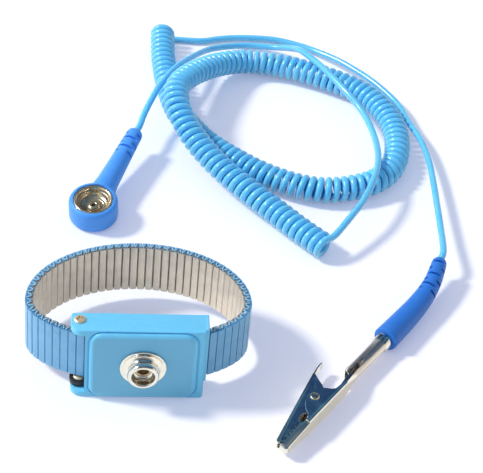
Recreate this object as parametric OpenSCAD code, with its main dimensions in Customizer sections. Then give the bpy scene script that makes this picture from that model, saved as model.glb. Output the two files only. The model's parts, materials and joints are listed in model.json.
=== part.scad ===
// Grounding wrist strap: an expansion band of sprung metal links on a moulded
// clasp with a snap stud, and its ground cord with snap plug and alligator clip.
// Millimetres, +Z up.  The strap stands on z = 0 with the middle of its box at
// the origin and the clasp facing -Y.  The cord lies on z = 0 behind it.

/* [Clasp housing] */
// Width of the housing from the hinge ears to the closed end
housing_w = 41; // [38:0.5:44]
// Height of the housing
housing_h = 28.6; // [26:0.2:31]
// Depth of the housing, front to back
housing_d = 8; // [7.8:0.1:9]
// Thickness of the front wall
front_wall = 1.6; // [1.2:0.1:1.8]
// Thickness of the top and bottom walls
end_wall = 2.2; // [1.6:0.1:2.4]
// Thickness of the wall at the closed end
side_wall = 1.6; // [1.2:0.1:2.2]
// How far the hinge ears stand out past the front wall
ear_l = 4.3; // [3.8:0.1:5]
// Corner radius of the hinge ears
ear_r = 3.4; // [2:0.1:3.7]
// Width of the raised panel
panel_w = 30.7; // [26:0.1:31]
// Height of the raised panel
panel_h = 24.8; // [22:0.1:25]
// Corner radius of the raised panel
panel_r = 3; // [2:0.1:4]
// Height of the panel above its plinth
panel_step = 0.6; // [0.4:0.1:0.8]
// Height of the plinth above the front wall
plinth_step = 0.5; // [0.3:0.1:0.8]
// Width of the plinth rim around the panel
plinth_rim = 1.1; // [0.8:0.1:1.3]

/* [Snap stud] */
// Diameter of the flange
flange_d = 14.3; // [13:0.1:16]
// Diameter of the snap head
stud_d = 9.7; // [9:0.1:10.5]
// Height of the stud above the panel
stud_h = 4.4; // [3.8:0.1:4.8]
// Diameter of the open mouth in the snap head
stud_mouth_d = 7; // [6:0.1:7.6]
// Diameter of the eyelet tube that rivets the stud
eyelet_d = 3.9; // [3.4:0.1:4.4]

/* [Expansion band] */
// Width of the band loop, outside
band_w = 70.2; // [66:0.2:74]
// Distance from the widest point of the loop to its back
band_back = 26.6; // [24:0.2:29]
// Bulge of the loop in front of its widest point
band_front = 17.6; // [17:0.1:18.2]
// Height of the links
link_h = 17.9; // [16.5:0.1:18.2]
// Spacing of the links along the band
link_pitch = 2.55; // [2.5:0.01:2.8]
// Thickness of one layer of links
link_t = 1.2; // [1.1:0.05:1.25]
// Width of an outer link along the band
outer_link_w = 2.3; // [2.1:0.05:2.35]
// Width of an inner link along the band
inner_link_w = 2.05; // [1.9:0.05:2.05]
// Sheet thickness of the links
link_sheet = 0.25; // [0.2:0.01:0.27]
// Thickness of the staples that tie the links
staple_t = 0.35; // [0.3:0.01:0.4]
// Length of the staple legs inside the links
staple_leg = 2.4; // [1.5:0.1:4]

/* [Clamp lever] */
// Thickness of the clamp plate
lever_t = 1.4; // [1.2:0.1:1.6]
// Length of the lever from its hinge axis
lever_l = 25; // [20:0.5:26]
// Radius of the hinge lugs
lug_r = 2.6; // [2.2:0.1:2.8]
// Thickness of the hinge lugs
lug_t = 1.7; // [1.4:0.1:1.8]
// Gap between the band's edges and the hinge lugs
lug_room = 0.8; // [0.7:0.05:1]
// Length of the arms that carry the lever's plate
arm_l = 4.4; // [4.2:0.1:5]
// Diameter of the hinge screw shanks
screw_d = 2; // [1.6:0.1:2.2]
// Diameter of the hinge screw heads
screw_head_d = 3.7; // [3.2:0.1:4.2]
// Height of the hinge screw heads
screw_head_h = 0.6; // [0.5:0.05:0.65]

/* [Snap plug] */
// Diameter of the plug head
plug_d = 16.9; // [16:0.1:19]
// Height of the plug head
plug_h = 8.4; // [8:0.1:10]
// Outer diameter of the socket cup
socket_d = 13; // [12.4:0.1:13.6]
// Bore of the socket that takes the stud
socket_bore_d = 10.1; // [9.8:0.05:10.6]
// Depth of the socket
socket_depth = 3.8; // [3.4:0.1:4.2]
// Distance from the head's centre to the end of the strain relief
relief_l = 39.6; // [34:0.2:46]
// Diameter of the strain relief at the head
relief_d = 8; // [7.4:0.1:8.2]
// Diameter of the strain relief at its end
relief_end_d = 5.8; // [5.2:0.1:6.4]
// Width of the flex slots
slot_w = 0.9; // [0.6:0.1:1.2]

/* [Cord] */
// Diameter of the cord
cord_d = 2.4; // [2.2:0.05:2.5]
// Outside diameter of the curly cord
curl_d = 9.4; // [9:0.1:9.6]
// Number of curls
curls = 89; // [60:1:89]

/* [Alligator clip] */
// Length of the clip from its jaw tips to the barrel mouth
clip_l = 59.4; // [58:0.2:64]
// Width of the clip over its cheeks
clip_w = 7.2; // [6.6:0.1:7.6]
// Sheet thickness of the clip
clip_t = 0.5; // [0.4:0.05:0.6]
// Diameter of the rivet
rivet_d = 2.2; // [1.8:0.1:2.6]
// Inside diameter of the barrel
barrel_id = 4.1; // [4:0.05:4.4]
// Wall of the barrel
barrel_wall = 0.35; // [0.25:0.05:0.45]
// Outside diameter of the boot at its mouth
boot_d = 8.4; // [8:0.1:8.8]
// Outside diameter of the boot at its end
boot_end_d = 4.8; // [4.6:0.1:5.4]

/* [Fits] */
// Running clearance of pins in their bores
run = 0.05; // [0.03:0.01:0.08]
// Gap between pieces that only sit together
seat = 0.04; // [0.02:0.01:0.08]
// Gap between the two layers of links
layer_gap = 0.12; // [0.1:0.01:0.16]
// Gap between pieces that move past each other
gap = 0.3; // [0.25:0.01:0.35]

/* [Hidden] */

blue = [0.33, 0.66, 0.90];
cord_blue = [0.31, 0.70, 0.97];
plug_blue = [0.28, 0.56, 0.92];
band_blue = [0.36, 0.60, 0.78];
steel = [0.80, 0.77, 0.70];
nickel = [0.78, 0.78, 0.80];
black = [0.08, 0.08, 0.09];

// ---- frame of the strap
face_y = -(band_back - 1.1) + stud_h + panel_step + plinth_step;  // front wall face
back_y = face_y + housing_d;
right_x = 20.3;
left_x = right_x - housing_w;
wall_x = left_x + ear_l;              // left edge of the front wall
face_x = 1.4;                         // middle of the panel and the stud
mid_z = housing_h / 2;
panel_y = face_y - plinth_step - panel_step;

// ---- band path: a wide back half, a flatter front half
loop_y = 25.5 - band_back;            // the widest point of the loop
band_t = 2 * link_t + layer_gap;      // both layers
back_run = 8;                         // links behind this line are the back run
pa = band_w / 2 - band_t / 2;
pb = band_back - band_t / 2;
pf = band_front - band_t / 2;
// the path runs from the housing's right end, round the back, to its left end
chan_y = face_y + front_wall + 1.5 + band_t / 2;   // middle of the band in the housing
chan_x = 16.2;                        // the band runs straight between these sides
t_end = asin(chan_x / pa);            // angle off the -Y axis where the loop meets it
function on_path(t) = [pa * cos(t), loop_y + (sin(t) >= 0 ? pb : pf) * sin(t)];
t0 = -90 + t_end;
t1 = 270 - t_end;
steps = 180;
pts = [for (i = [0:steps]) on_path(t0 + (t1 - t0) * i / steps)];
seg = [for (i = [1:steps]) norm(pts[i] - pts[i - 1])];
function run_sum(v) = [for (i = 0, a = 0; i <= len(v); a = a + (i < len(v) ? v[i] : 0),
    i = i + 1) a];
cum = run_sum(seg);
path_l = cum[steps];
tab_x = [for (i = [0:steps]) [cum[i], pts[i][0]]];
tab_y = [for (i = [0:steps]) [cum[i], pts[i][1]]];
function pos(s) = [lookup(s, tab_x), lookup(s, tab_y)];
function head(s) = let (a = pos(max(s - 0.3, 0)), b = pos(min(s + 0.3, path_l)))
    atan2(b[1] - a[1], b[0] - a[0]);
link_n = floor(path_l / link_pitch);
link_s = path_l / link_n;
// outer links of the back run, which moves as one when the band stretches
far = [for (i = [0:link_n - 1]) if (pos((i + 0.5) * link_s)[1] > back_run) i];
back_from = far[0];
back_to = far[len(far) - 1];

// a section on the path: x along the band, y towards the wearer's outside
module on_band(s) {
    p = pos(s);
    translate([p[0], p[1], 0])
        rotate([0, 0, head(s)])
            children();
}

// one folded link: a flat tube, open at both ends
module link(w, side) {
    y0 = side > 0 ? layer_gap / 2 : -layer_gap / 2 - link_t;
    c = 0.3;
    translate([0, 0, mid_z - link_h / 2])
        linear_extrude(height = link_h)
            difference() {
                polygon(side > 0
                    ? [[-w / 2, y0], [w / 2, y0], [w / 2, y0 + link_t - c],
                       [w / 2 - c, y0 + link_t], [-w / 2 + c, y0 + link_t],
                       [-w / 2, y0 + link_t - c]]
                    : [[-w / 2, y0 + c], [-w / 2 + c, y0], [w / 2 - c, y0],
                       [w / 2, y0 + c], [w / 2, y0 + link_t], [-w / 2, y0 + link_t]]);
                translate([-w / 2 + link_sheet, y0 + link_sheet])
                    square([w - 2 * link_sheet, link_t - 2 * link_sheet]);
            }
}

// outer links turn their crowned face outwards, which is -Y of the path's heading
module outer_links(a, b) {
    for (i = [a:b])
        on_band((i + 0.5) * link_s)
            link(outer_link_w, -1);
}

module inner_links(a, b) {
    for (i = [a:b])
        on_band(i * link_s)
            link(inner_link_w, 1);
}

// a staple ties an outer link to the inner link beside it, over both edges
staple_w = 0.4;
out_off = -(layer_gap + link_t) / 2;
in_off = (layer_gap + link_t) / 2;
module staple(i, d) {
    so = (i + 0.5 + d * 0.17) * link_s;
    si = (i + 0.5 + d * 0.5) * link_s - d * 0.3;
    po = pos(so) + out_off * [-sin(head(so)), cos(head(so))];
    pi_ = pos(si) + in_off * [-sin(head(si)), cos(head(si))];
    q = pi_ - po;
    w = 0.32;
    for (m = [0, 1])
        translate([po[0], po[1], mid_z])
            mirror([0, 0, m])
                rotate([0, 0, atan2(q[1], q[0])])
                    translate([0, staple_w / 2, link_h / 2])
                        rotate([90, 0, 0])
                            linear_extrude(height = staple_w)
                                polygon([[-w / 2, -staple_leg], [-w / 2, staple_t],
                                    [norm(q) + w / 2, staple_t],
                                    [norm(q) + w / 2, -staple_leg],
                                    [norm(q) - w / 2, -staple_leg], [norm(q) - w / 2, 0.02],
                                    [w / 2, 0.02], [w / 2, -staple_leg]]);
}

module staples(a, b, first, last) {
    for (i = [a:b], d = [-1, 1])
        if ((i > a || d > 0 || first) && (i < b || d < 0 || last))
            staple(i, d);
}

// ---- rounded rectangle, middle at the origin
module rrect(w, h, r) {
    square([w - 2 * r, h], center = true);
    square([w, h - 2 * r], center = true);
    for (x = [-1, 1], y = [-1, 1])
        translate([x * (w / 2 - r), y * (h / 2 - r)])
            circle(r = r, $fn = 48);
}

// ---- housing
hinge_x = left_x + 2.7;
hinge_y = back_y - 3.2;
open_x = hinge_x + lever_l + gap;     // the back is open from the hinge to here
slot_y = chan_y - band_t / 2 - gap;   // front of the band's slot in the closed end

module wall_plan() {
    r2 = 1.2;
    difference() {
        translate([left_x, face_y])
            square([housing_w, housing_d]);
        translate([left_x, face_y])
            square([ear_r, ear_r]);
        translate([right_x - r2, face_y])
            square([r2, r2]);
        translate([left_x - 1, back_y - r2])
            square([1 + r2, r2 + 1]);
    }
    translate([left_x + ear_r, face_y + ear_r])
        circle(r = ear_r, $fn = 64);
    translate([right_x - r2, face_y + r2])
        circle(r = r2, $fn = 48);
    translate([left_x + r2, back_y - r2])
        circle(r = r2, $fn = 48);
}

module clasp_housing() {
    color(blue)
        difference() {
            union() {
                linear_extrude(height = housing_h)
                    wall_plan();
                // plinth and panel with drawn edges
                translate([face_x, face_y, mid_z])
                    rotate([90, 0, 0])
                        hull() {
                            linear_extrude(height = 0.05)
                                rrect(panel_w + 2 * plinth_rim, panel_h + 2 * plinth_rim,
                                    panel_r + plinth_rim, $fn = 32);
                            translate([0, 0, plinth_step - 0.05])
                                linear_extrude(height = 0.05)
                                    rrect(panel_w + 2 * plinth_rim - 0.6,
                                        panel_h + 2 * plinth_rim - 0.6,
                                        panel_r + plinth_rim - 0.3, $fn = 32);
                        }
                translate([face_x, face_y - plinth_step, mid_z])
                    rotate([90, 0, 0])
                        hull() {
                            translate([0, 0, -0.05])
                                linear_extrude(height = 0.1)
                                    rrect(panel_w, panel_h, panel_r);
                            translate([0, 0, panel_step - 0.05])
                                linear_extrude(height = 0.05)
                                    rrect(panel_w - 1, panel_h - 1, panel_r - 0.5);
                        }
                // lip along the closed end
                translate([right_x - 0.05, face_y + 1.2, 6.5])
                    cube([0.75, housing_d - 1.2, housing_h - 6.5]);
            }
            // room behind the front wall
            translate([wall_x + 1.4, face_y + front_wall, end_wall])
                cube([right_x - side_wall - wall_x - 1.4, slot_y - face_y - front_wall + 0.01,
                    housing_h - 2 * end_wall]);
            translate([wall_x + 1.4, slot_y, end_wall])
                cube([right_x - side_wall - wall_x - 1.4,
                    chan_y + band_t / 2 + gap - slot_y, housing_h - 2 * end_wall]);
            // the back is open for the lever
            translate([wall_x + 1.4, slot_y, end_wall])
                cube([open_x - wall_x - 1.4, back_y - slot_y + 1,
                    housing_h - 2 * end_wall]);
            // the ears stand free of the front wall, with room for the lever's arms
            translate([left_x - 1, face_y - 1, ear_t])
                cube([ear_l + 1, housing_d + 2, housing_h - 2 * ear_t]);
            translate([wall_x - 0.01, face_y + front_wall, ear_t])
                cube([hinge_x + arm_l + 0.2 + gap - wall_x, housing_d + 2,
                    housing_h - 2 * ear_t]);
            // slot for the band through the closed end
            translate([chan_x - 0.6, slot_y, mid_z - link_h / 2 - 0.7])
                cube([right_x - chan_x + 3, back_y - slot_y + 1, link_h + 1.4]);
            // seats of the anchor pin
            translate([anchor_x, anchor_y, end_wall - 0.8])
                cylinder(h = housing_h - 2 * end_wall + 1.6, d = anchor_d + 2 * seat, $fn = 32);
            // holes for the eyelet and the hinge screws
            translate([face_x, face_y + front_wall + 1, mid_z])
                rotate([90, 0, 0])
                    cylinder(h = 6, d = eyelet_d + 2 * seat, $fn = 48);
            translate([hinge_x, hinge_y, -1])
                cylinder(h = housing_h + 2, d = screw_d + 2 * seat, $fn = 32);
            translate([hinge_x, hinge_y, -0.01])
                cylinder(h = 0.6, d = screw_d + 1.4, $fn = 32);
        }
}

plate_y = face_y + front_wall + seat;
plate_t = 0.4;
plate_rim_x = 2.85;                   // the plate ends this far inside the panel's outline
plate_rim_z = 3.4;
module contact_plate() {
    color(steel)
        difference() {
            translate([face_x, plate_y + plate_t, mid_z])
                rotate([90, 0, 0])
                    linear_extrude(height = plate_t)
                        rrect(panel_w - 2 * plate_rim_x, panel_h - 2 * plate_rim_z, panel_r - 1);
            translate([face_x, plate_y + 2, mid_z])
                rotate([90, 0, 0])
                    cylinder(h = 4, d = eyelet_d + 2 * seat, $fn = 48);
        }
}

// ---- snap stud, turned about its own axis; heights run out from the panel
module snap_stud() {
    rf = flange_d / 2;
    rs = stud_d / 2;
    rm = stud_mouth_d / 2;
    re = eyelet_d / 2 + seat;
    color(nickel)
        translate([face_x, panel_y - 0.02, mid_z])
            rotate([90, 0, 0])
                rotate_extrude($fn = 96)
                    polygon([[re, 0], [rf - 0.2, 0], [rf, 0.2], [rf, 0.45], [rf - 0.25, 0.62],
                        [rf - 0.7, 0.55], [rf - 1.1, 0.4], [rs + 0.5, 0.55], [rs - 0.15, 0.95],
                        [rs - 0.4, 1.5], [rs - 0.35, 2.0], [rs, 2.5], [rs, stud_h - 0.75],
                        [rs - 0.2, stud_h - 0.25], [rs - 0.65, stud_h], [rm + 0.2, stud_h - 0.05],
                        [rm, stud_h - 0.35], [rm - 0.05, 1.5], [rm - 0.5, 1.1],
                        [re + 0.25, 0.95], [re, 0.75]]);
}

// eyelet: a tube through stud, wall and plate, rolled over at both ends
module stud_eyelet() {
    r = eyelet_d / 2;
    out = 1.5;
    depth = plinth_step + panel_step + front_wall + seat + plate_t;
    color(steel)
        translate([face_x, panel_y, mid_z])
            rotate([90, 0, 0])
                rotate_extrude($fn = 64)
                    polygon([[r - 0.35, -depth - 0.5], [r - 0.35, out - 0.1], [r - 0.1, out + 0.15],
                        [r + 0.45, out + 0.05], [r + 0.85, out - 0.4], [r + 0.35, out - 0.45],
                        [r, 0.8], [r, -depth - seat], [r + 0.9, -depth - seat],
                        [r + 0.8, -depth - 0.4], [r + 0.1, -depth - 0.55]]);
}

// ---- clamp lever behind the band, hinged between the ears
lug_z = mid_z - link_h / 2 - staple_t - lug_room - lug_t;   // lugs hug the band
ear_t = lug_z - gap;                  // and the ears reach to the lugs
lever_z = max(lug_z, end_wall + gap);
lever_y = chan_y + band_t / 2 + gap;
module clamp_lever() {
    h = housing_h - 2 * lever_z;
    x0 = hinge_x + arm_l;
    color(black)
        difference() {
            union() {
                for (z = [lug_z, housing_h - lug_z - lug_t])
                    translate([0, 0, z])
                        linear_extrude(height = lug_t)
                            union() {
                                translate([hinge_x, hinge_y])
                                    circle(r = lug_r, $fn = 48);
                                translate([hinge_x, lever_y])
                                    square([arm_l + 0.2, hinge_y + lug_r - lever_y]);
                                translate([hinge_x, hinge_y - 0.4])
                                    square([arm_l + 0.2, lever_y - hinge_y + 1]);
                            }
                // plate with a rounded free end
                translate([x0, lever_y, lever_z])
                    cube([lever_l - arm_l - lever_t / 2, lever_t, h]);
                translate([hinge_x + lever_l - lever_t / 2, lever_y + lever_t / 2, lever_z])
                    cylinder(h = h, d = lever_t, $fn = 32);
                // thumb ridges
                for (k = [0:2])
                    translate([hinge_x + lever_l - 2.2 - 1.6 * k, lever_y + lever_t, lever_z + 3])
                        cylinder(h = h - 6, r = 0.35, $fn = 24);
            }
            translate([hinge_x, hinge_y, -1])
                cylinder(h = housing_h + 2, d = screw_d + 2 * run, $fn = 48);
        }
}

module pan_screw(l) {
    r = screw_head_d / 2;
    difference() {
        union() {
            translate([0, 0, -l])
                cylinder(h = l + 0.1, d = screw_d, $fn = 48);
            rotate_extrude($fn = 48)
                polygon([[0, seat], [r, seat], [r, screw_head_h * 0.4],
                    [r - 0.35, screw_head_h * 0.8], [r - 0.8, screw_head_h],
                    [0, screw_head_h]]);
        }
        for (a = [0, 90])
            rotate([0, 0, a + 20])
                translate([-0.95, -0.2, screw_head_h - 0.35])
                    cube([1.9, 0.4, 1]);
    }
}

module hinge_screws() {
    color(steel) {
        // upper screw: through the top ear into the upper lug
        translate([hinge_x, hinge_y, housing_h])
            pan_screw(ear_t + lug_t);
        // lower screw: through the lower lug into the bottom ear
        translate([hinge_x, hinge_y, lug_z + lug_t])
            pan_screw(ear_t + lug_t - 0.3);
    }
}

// ---- the band inside the housing: the clamped tail and the anchored end
anchor_d = 0.6;
anchor_x = chan_x - 1.5 * link_s;
anchor_y = chan_y - (layer_gap + link_t) / 2;
tail_n = floor((anchor_x - link_s * 0.5 - gap + chan_x) / link_s);
module chan_link(x, side) {
    translate([x, chan_y, 0])
        link(side < 0 ? outer_link_w : inner_link_w, side);
}

module clasp_links() {
    color(steel) {
        for (i = [0:tail_n - 1])
            chan_link(-chan_x + (i + 0.5) * link_s, -1);
        for (i = [1:tail_n - 1])
            chan_link(-chan_x + i * link_s, 1);
        for (i = [0, 1])
            chan_link(chan_x - (i + 0.5) * link_s, -1);
        chan_link(chan_x - link_s, 1);
    }
}

// the pin runs through the last outer link into the top and bottom walls
module band_anchor() {
    color(nickel)
        translate([anchor_x, anchor_y, end_wall - 0.75])
            cylinder(h = housing_h - 2 * end_wall + 1.5, d = anchor_d, $fn = 32);
}

// ---- snap plug, modelled along +X and then laid in place
plug_x = -14.3;
plug_y = 64;
plug_a = 68.3;                        // direction of the strain relief
plug_tilt = 6;                        // the relief's end stands off the table
foot_r = plug_d / 2 - 1.2;
plug_lift = foot_r * sin(plug_tilt) + 0.05;
relief_z = relief_d / 2 + 0.2;
module place_plug() {
    translate([plug_x, plug_y, plug_lift])
        rotate([0, 0, plug_a])
            rotate([0, -plug_tilt, 0])
                children();
}
function plug_pt(x, z) = [plug_x, plug_y, plug_lift]
    + [cos(plug_a) * (x * cos(plug_tilt) - z * sin(plug_tilt)),
       sin(plug_a) * (x * cos(plug_tilt) - z * sin(plug_tilt)),
       x * sin(plug_tilt) + z * cos(plug_tilt)];

cup_h = socket_depth + 0.5;
cup_z = plug_h - 0.1 - cup_h;
res_d = 2.4;
res_l = 6.4;
res_x = 14;
wire_d = 0.6;
grip_l = 5;                           // length of cord held inside a relief

module plug_body() {
    r1 = relief_d / 2;
    r2 = relief_end_d / 2;
    re = plug_d / 2;
    color(plug_blue)
        place_plug()
            difference() {
                union() {
                    rotate_extrude($fn = 96)
                        polygon([[0, 0], [foot_r, 0], [re - 0.6, 0.25], [re - 0.15, 0.75],
                            [re, 1.4], [re, plug_h - 1.6], [re - 0.2, plug_h - 0.7],
                            [re - 0.7, plug_h - 0.15], [re - 1.2, plug_h], [0, plug_h]]);
                    translate([0, 0, relief_z])
                        rotate([0, 90, 0])
                            rotate_extrude($fn = 64)
                                polygon([[0, 4], [r1, 4], [r1, re + 1.5],
                                    [r1 - 0.55 * (r1 - r2), relief_l * 0.6],
                                    [r2, relief_l - 1.2], [r2 - 0.3, relief_l - 0.4],
                                    [r2 - 0.9, relief_l], [0, relief_l]]);
                    // neck that runs the relief into the head
                    hull() {
                        translate([re - 3.5, 0, relief_z])
                            rotate([0, 90, 0])
                                cylinder(h = 0.1, r = r1 + 0.7, $fn = 32);
                        translate([re + 3.5, 0, relief_z])
                            rotate([0, 90, 0])
                                cylinder(h = 0.1, r = r1 - 0.1, $fn = 32);
                    }
                }
                // seat of the socket cup and the tail of its eyelet
                translate([0, 0, cup_z - seat])
                    cylinder(h = cup_h + 1, d = socket_d + 2 * seat, $fn = 96);
                translate([0, 0, cup_z - 1])
                    cylinder(h = 2, d = 3, $fn = 48);
                // resistor, its wires and the cord
                translate([3, 0, relief_z])
                    rotate([0, 90, 0])
                        cylinder(h = relief_l - 3, d = wire_d + 2 * seat, $fn = 24);
                translate([res_x - seat, 0, relief_z])
                    rotate([0, 90, 0])
                        cylinder(h = res_l + 2 * seat, d = res_d + 2 * seat, $fn = 48);
                translate([relief_l - grip_l, 0, relief_z])
                    rotate([0, 90, 0])
                        cylinder(h = grip_l + 1, d = cord_d + 2 * seat, $fn = 48);
                // flex slots, turned a quarter from one to the next
                for (k = [0:4])
                    translate([relief_l - 3.2 - 2.4 * k, 0, relief_z])
                        rotate([90 * (k % 2), 0, 0])
                            for (s = [-1, 1])
                                translate([0, s * (cord_d / 2 + 0.45 + 2), 0])
                                    cube([slot_w, 4, 10], center = true);
            }
}

// the cup: rolled rim, lead-in, bore, groove for the spring, floor
module socket_cup() {
    ro = socket_d / 2;
    rb = socket_bore_d / 2;
    color(steel)
        place_plug()
            translate([0, 0, cup_z])
                rotate_extrude($fn = 96)
                    polygon([[1.3, 0], [ro, 0], [ro, cup_h - 0.35], [ro - 0.25, cup_h - 0.05],
                        [ro - 0.6, cup_h], [ro - 0.9, cup_h - 0.3], [rb + 0.2, cup_h - 0.9],
                        [rb, cup_h - 1.15], [rb, cup_h - 2.35], [rb + 0.45, cup_h - 2.55],
                        [rb + 0.45, cup_h - 3.35], [rb, cup_h - 3.5], [rb, 0.5], [1.3, 0.5]]);
}

module socket_spring() {
    rb = socket_bore_d / 2;
    color(nickel)
        place_plug()
            translate([0, 0, cup_z + cup_h - 2.95])
                rotate([0, 0, 35])
                    rotate_extrude(angle = 320, $fn = 64)
                        translate([rb + 0.1, 0])
                            circle(r = 0.3, $fn = 16);
}

module socket_eyelet() {
    color(steel)
        place_plug()
            translate([0, 0, cup_z])
                rotate_extrude($fn = 64)
                    polygon([[0.75, -0.6], [0.75, 1.5], [1.0, 1.75], [1.5, 1.6], [2.1, 1.1],
                        [2.4, 0.5 + seat], [1.2, 0.5 + seat], [1.2, -0.1], [1.45, -0.6]]);
}

module resistor() {
    color("tan")
        place_plug()
            translate([0, 0, relief_z])
                rotate([0, 90, 0]) {
                    translate([0, 0, res_x])
                        rotate_extrude($fn = 48)
                            polygon([[0, 0], [res_d / 2 - 0.2, 0], [res_d / 2, 0.3],
                                [res_d / 2, 1.5], [res_d / 2 - 0.15, 1.8],
                                [res_d / 2 - 0.15, res_l - 1.8], [res_d / 2, res_l - 1.5],
                                [res_d / 2, res_l - 0.3], [res_d / 2 - 0.2, res_l],
                                [0, res_l]]);
                    translate([0, 0, socket_d / 2 + 2 * seat])
                        cylinder(h = res_x - socket_d / 2, d = wire_d, $fn = 24);
                    translate([0, 0, res_x + res_l - 0.1])
                        cylinder(h = relief_l - grip_l - res_x - res_l, d = wire_d, $fn = 24);
                }
}

// ---- sweeps: rings of n points round a line of centres, in triangles
function unit(v) = v / norm(v);
function ring(p, a, b, r, n) = [for (k = [0:n - 1])
    p + r * (cos(360 * k / n) * a + sin(360 * k / n) * b)];
function tube_faces(m, n) = concat(
    [for (k = [1:n - 2]) [0, k, k + 1]],
    [for (i = [0:m - 2], k = [0:n - 1]) [i * n + k, i * n + n + k, i * n + n + (k + 1) % n]],
    [for (i = [0:m - 2], k = [0:n - 1])
        [i * n + k, i * n + n + (k + 1) % n, i * n + (k + 1) % n]],
    [for (k = [1:n - 2]) [m * n - n, m * n - n + k + 1, m * n - n + k]]);
// smooth curve through points
function spline(p, i, t) = let (a = p[max(i - 1, 0)], b = p[i], c = p[i + 1],
    d = p[min(i + 2, len(p) - 1)])
    0.5 * (2 * b + (c - a) * t + (2 * a - 5 * b + 4 * c - d) * t * t
        + (3 * b - a - 3 * c + d) * t * t * t);
function smooth(p, n) = concat([for (i = [0:len(p) - 2], k = [0:n - 1]) spline(p, i, k / n)],
    [p[len(p) - 1]]);
function along(p, i) = unit(p[min(i + 1, len(p) - 1)] - p[max(i - 1, 0)]);
// a tube along points, its rings held upright, with its own radius at each point
module tube(p, r, n) {
    rings = [for (i = [0:len(p) - 1])
        let (t = along(p, i), a = unit(cross(t, [0, 0, 1])), b = cross(t, a))
        each ring(p[i], a, b, is_list(r) ? r[i] : r, n)];
    polyhedron(points = rings, faces = tube_faces(len(p), n), convexity = 8);
}

// ---- curly cord: its axis, then the curls round it
curl_r = (curl_d - cord_d) / 2;
low = curl_d / 2 + 0.1;
coil_route = [[64, 46, low], [56, 54.5, low], [48, 63.5, 5.2], [40, 71.5, 6.4], [31.5, 80.5, 8],
    [24, 90, 10], [18.3, 99.5, 12.6], [15, 109, 14.9], [15, 119, 15.2], [19, 128, 13.6],
    [25.5, 137, 10.8], [33, 145, 7.6], [42, 149.5, 5.6], [53, 149.2, low], [64, 145.5, low],
    [75, 140, low], [84, 134, low], [91, 125, low], [95, 113, low], [95, 101, low],
    [92, 90, low], [85.5, 82, low], [76, 77.5, low], [65, 76, low], [55, 78.5, low],
    [44.5, 84, low], [35, 91.5, low], [26, 100.5, low], [19.5, 110.5, low], [15, 121, low],
    [12.5, 134, low], [11, 150, low], [11, 168, low]];
axis = smooth(coil_route, 6);
axis_cum = run_sum([for (i = [1:len(axis) - 1]) norm(axis[i] - axis[i - 1])]);
axis_l = axis_cum[len(axis) - 1];
ax = [for (k = [0:2]) [for (i = [0:len(axis) - 1]) [axis_cum[i], axis[i][k]]]];
function axis_at(s) = [lookup(s, ax[0]), lookup(s, ax[1]), lookup(s, ax[2])];
function axis_dir(s) = unit(axis_at(min(s + 1.5, axis_l)) - axis_at(max(s - 1.5, 0)));
rings_per_curl = 8;
coil_steps = rings_per_curl * curls - rings_per_curl / 2;
coil_angle = 360 / rings_per_curl;
// the winding is left-handed: it starts at the top and ends at the bottom
function curl_out(i) = let (s = axis_l * i / coil_steps, t = axis_dir(s),
    a = unit(cross(t, [0, 0, 1])), v = cross(a, t))
    cos(coil_angle * i) * v - sin(coil_angle * i) * a;
function curl_pt(i) = axis_at(axis_l * i / coil_steps) + curl_r * curl_out(i);
curl_pts = [for (i = [0:coil_steps]) curl_pt(i)];
// the way the cord runs at step i, worked out from the helix itself
function curl_way(i) = let (t = axis_dir(axis_l * i / coil_steps),
    a = unit(cross(t, [0, 0, 1])), v = cross(a, t), g = coil_angle * i)
    unit(t * axis_l / coil_steps
        - curl_r * coil_angle * PI / 180 * (sin(g) * v + cos(g) * a));
coil_in = curl_way(0);
coil_out = curl_way(coil_steps);
coil_start = curl_pts[0] - cord_d * coil_in;
coil_end = curl_pts[coil_steps] + cord_d * coil_out;
curl_line = concat([coil_start], curl_pts, [coil_end]);
curl_dir = [for (i = [0:coil_steps])
    i == 0 ? coil_in : i == coil_steps ? coil_out
        : unit(curl_pts[i + 1] - curl_pts[i - 1])];
function square_to(v, t) = unit(v - (v * t) * t);

// least gap of the curly cord to itself, between turns and between its branches
turn_gap = min([for (i = [0:coil_steps - rings_per_curl], j = [-2:2])
    if (i + rings_per_curl + j <= coil_steps)
        norm(curl_pts[i + rings_per_curl + j] - curl_pts[i])]) - cord_d;
branch_gap = min([for (i = [0:3:coil_steps], j = [0:3:coil_steps])
    if (j > i + 6 * rings_per_curl) norm(curl_pts[j] - curl_pts[i])]) - cord_d;
echo(least_gap_between_turns = turn_gap, least_gap_between_branches = branch_gap,
    axis_length = axis_l, curls = curls);

module curly_cord() {
    n = 6;
    rings = concat(
        ring(coil_start, square_to(curl_out(0), coil_in),
            cross(coil_in, square_to(curl_out(0), coil_in)), cord_d / 2, n),
        [for (i = [0:coil_steps])
            let (t = curl_dir[i], a = square_to(curl_out(i), t))
            each ring(curl_pts[i], a, cross(t, a), cord_d / 2, n)],
        ring(coil_end, square_to(curl_out(coil_steps), coil_out),
            cross(coil_out, square_to(curl_out(coil_steps), coil_out)), cord_d / 2, n));
    color(cord_blue)
        polyhedron(points = rings, faces = tube_faces(coil_steps + 3, n), convexity = 10);
}

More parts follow.
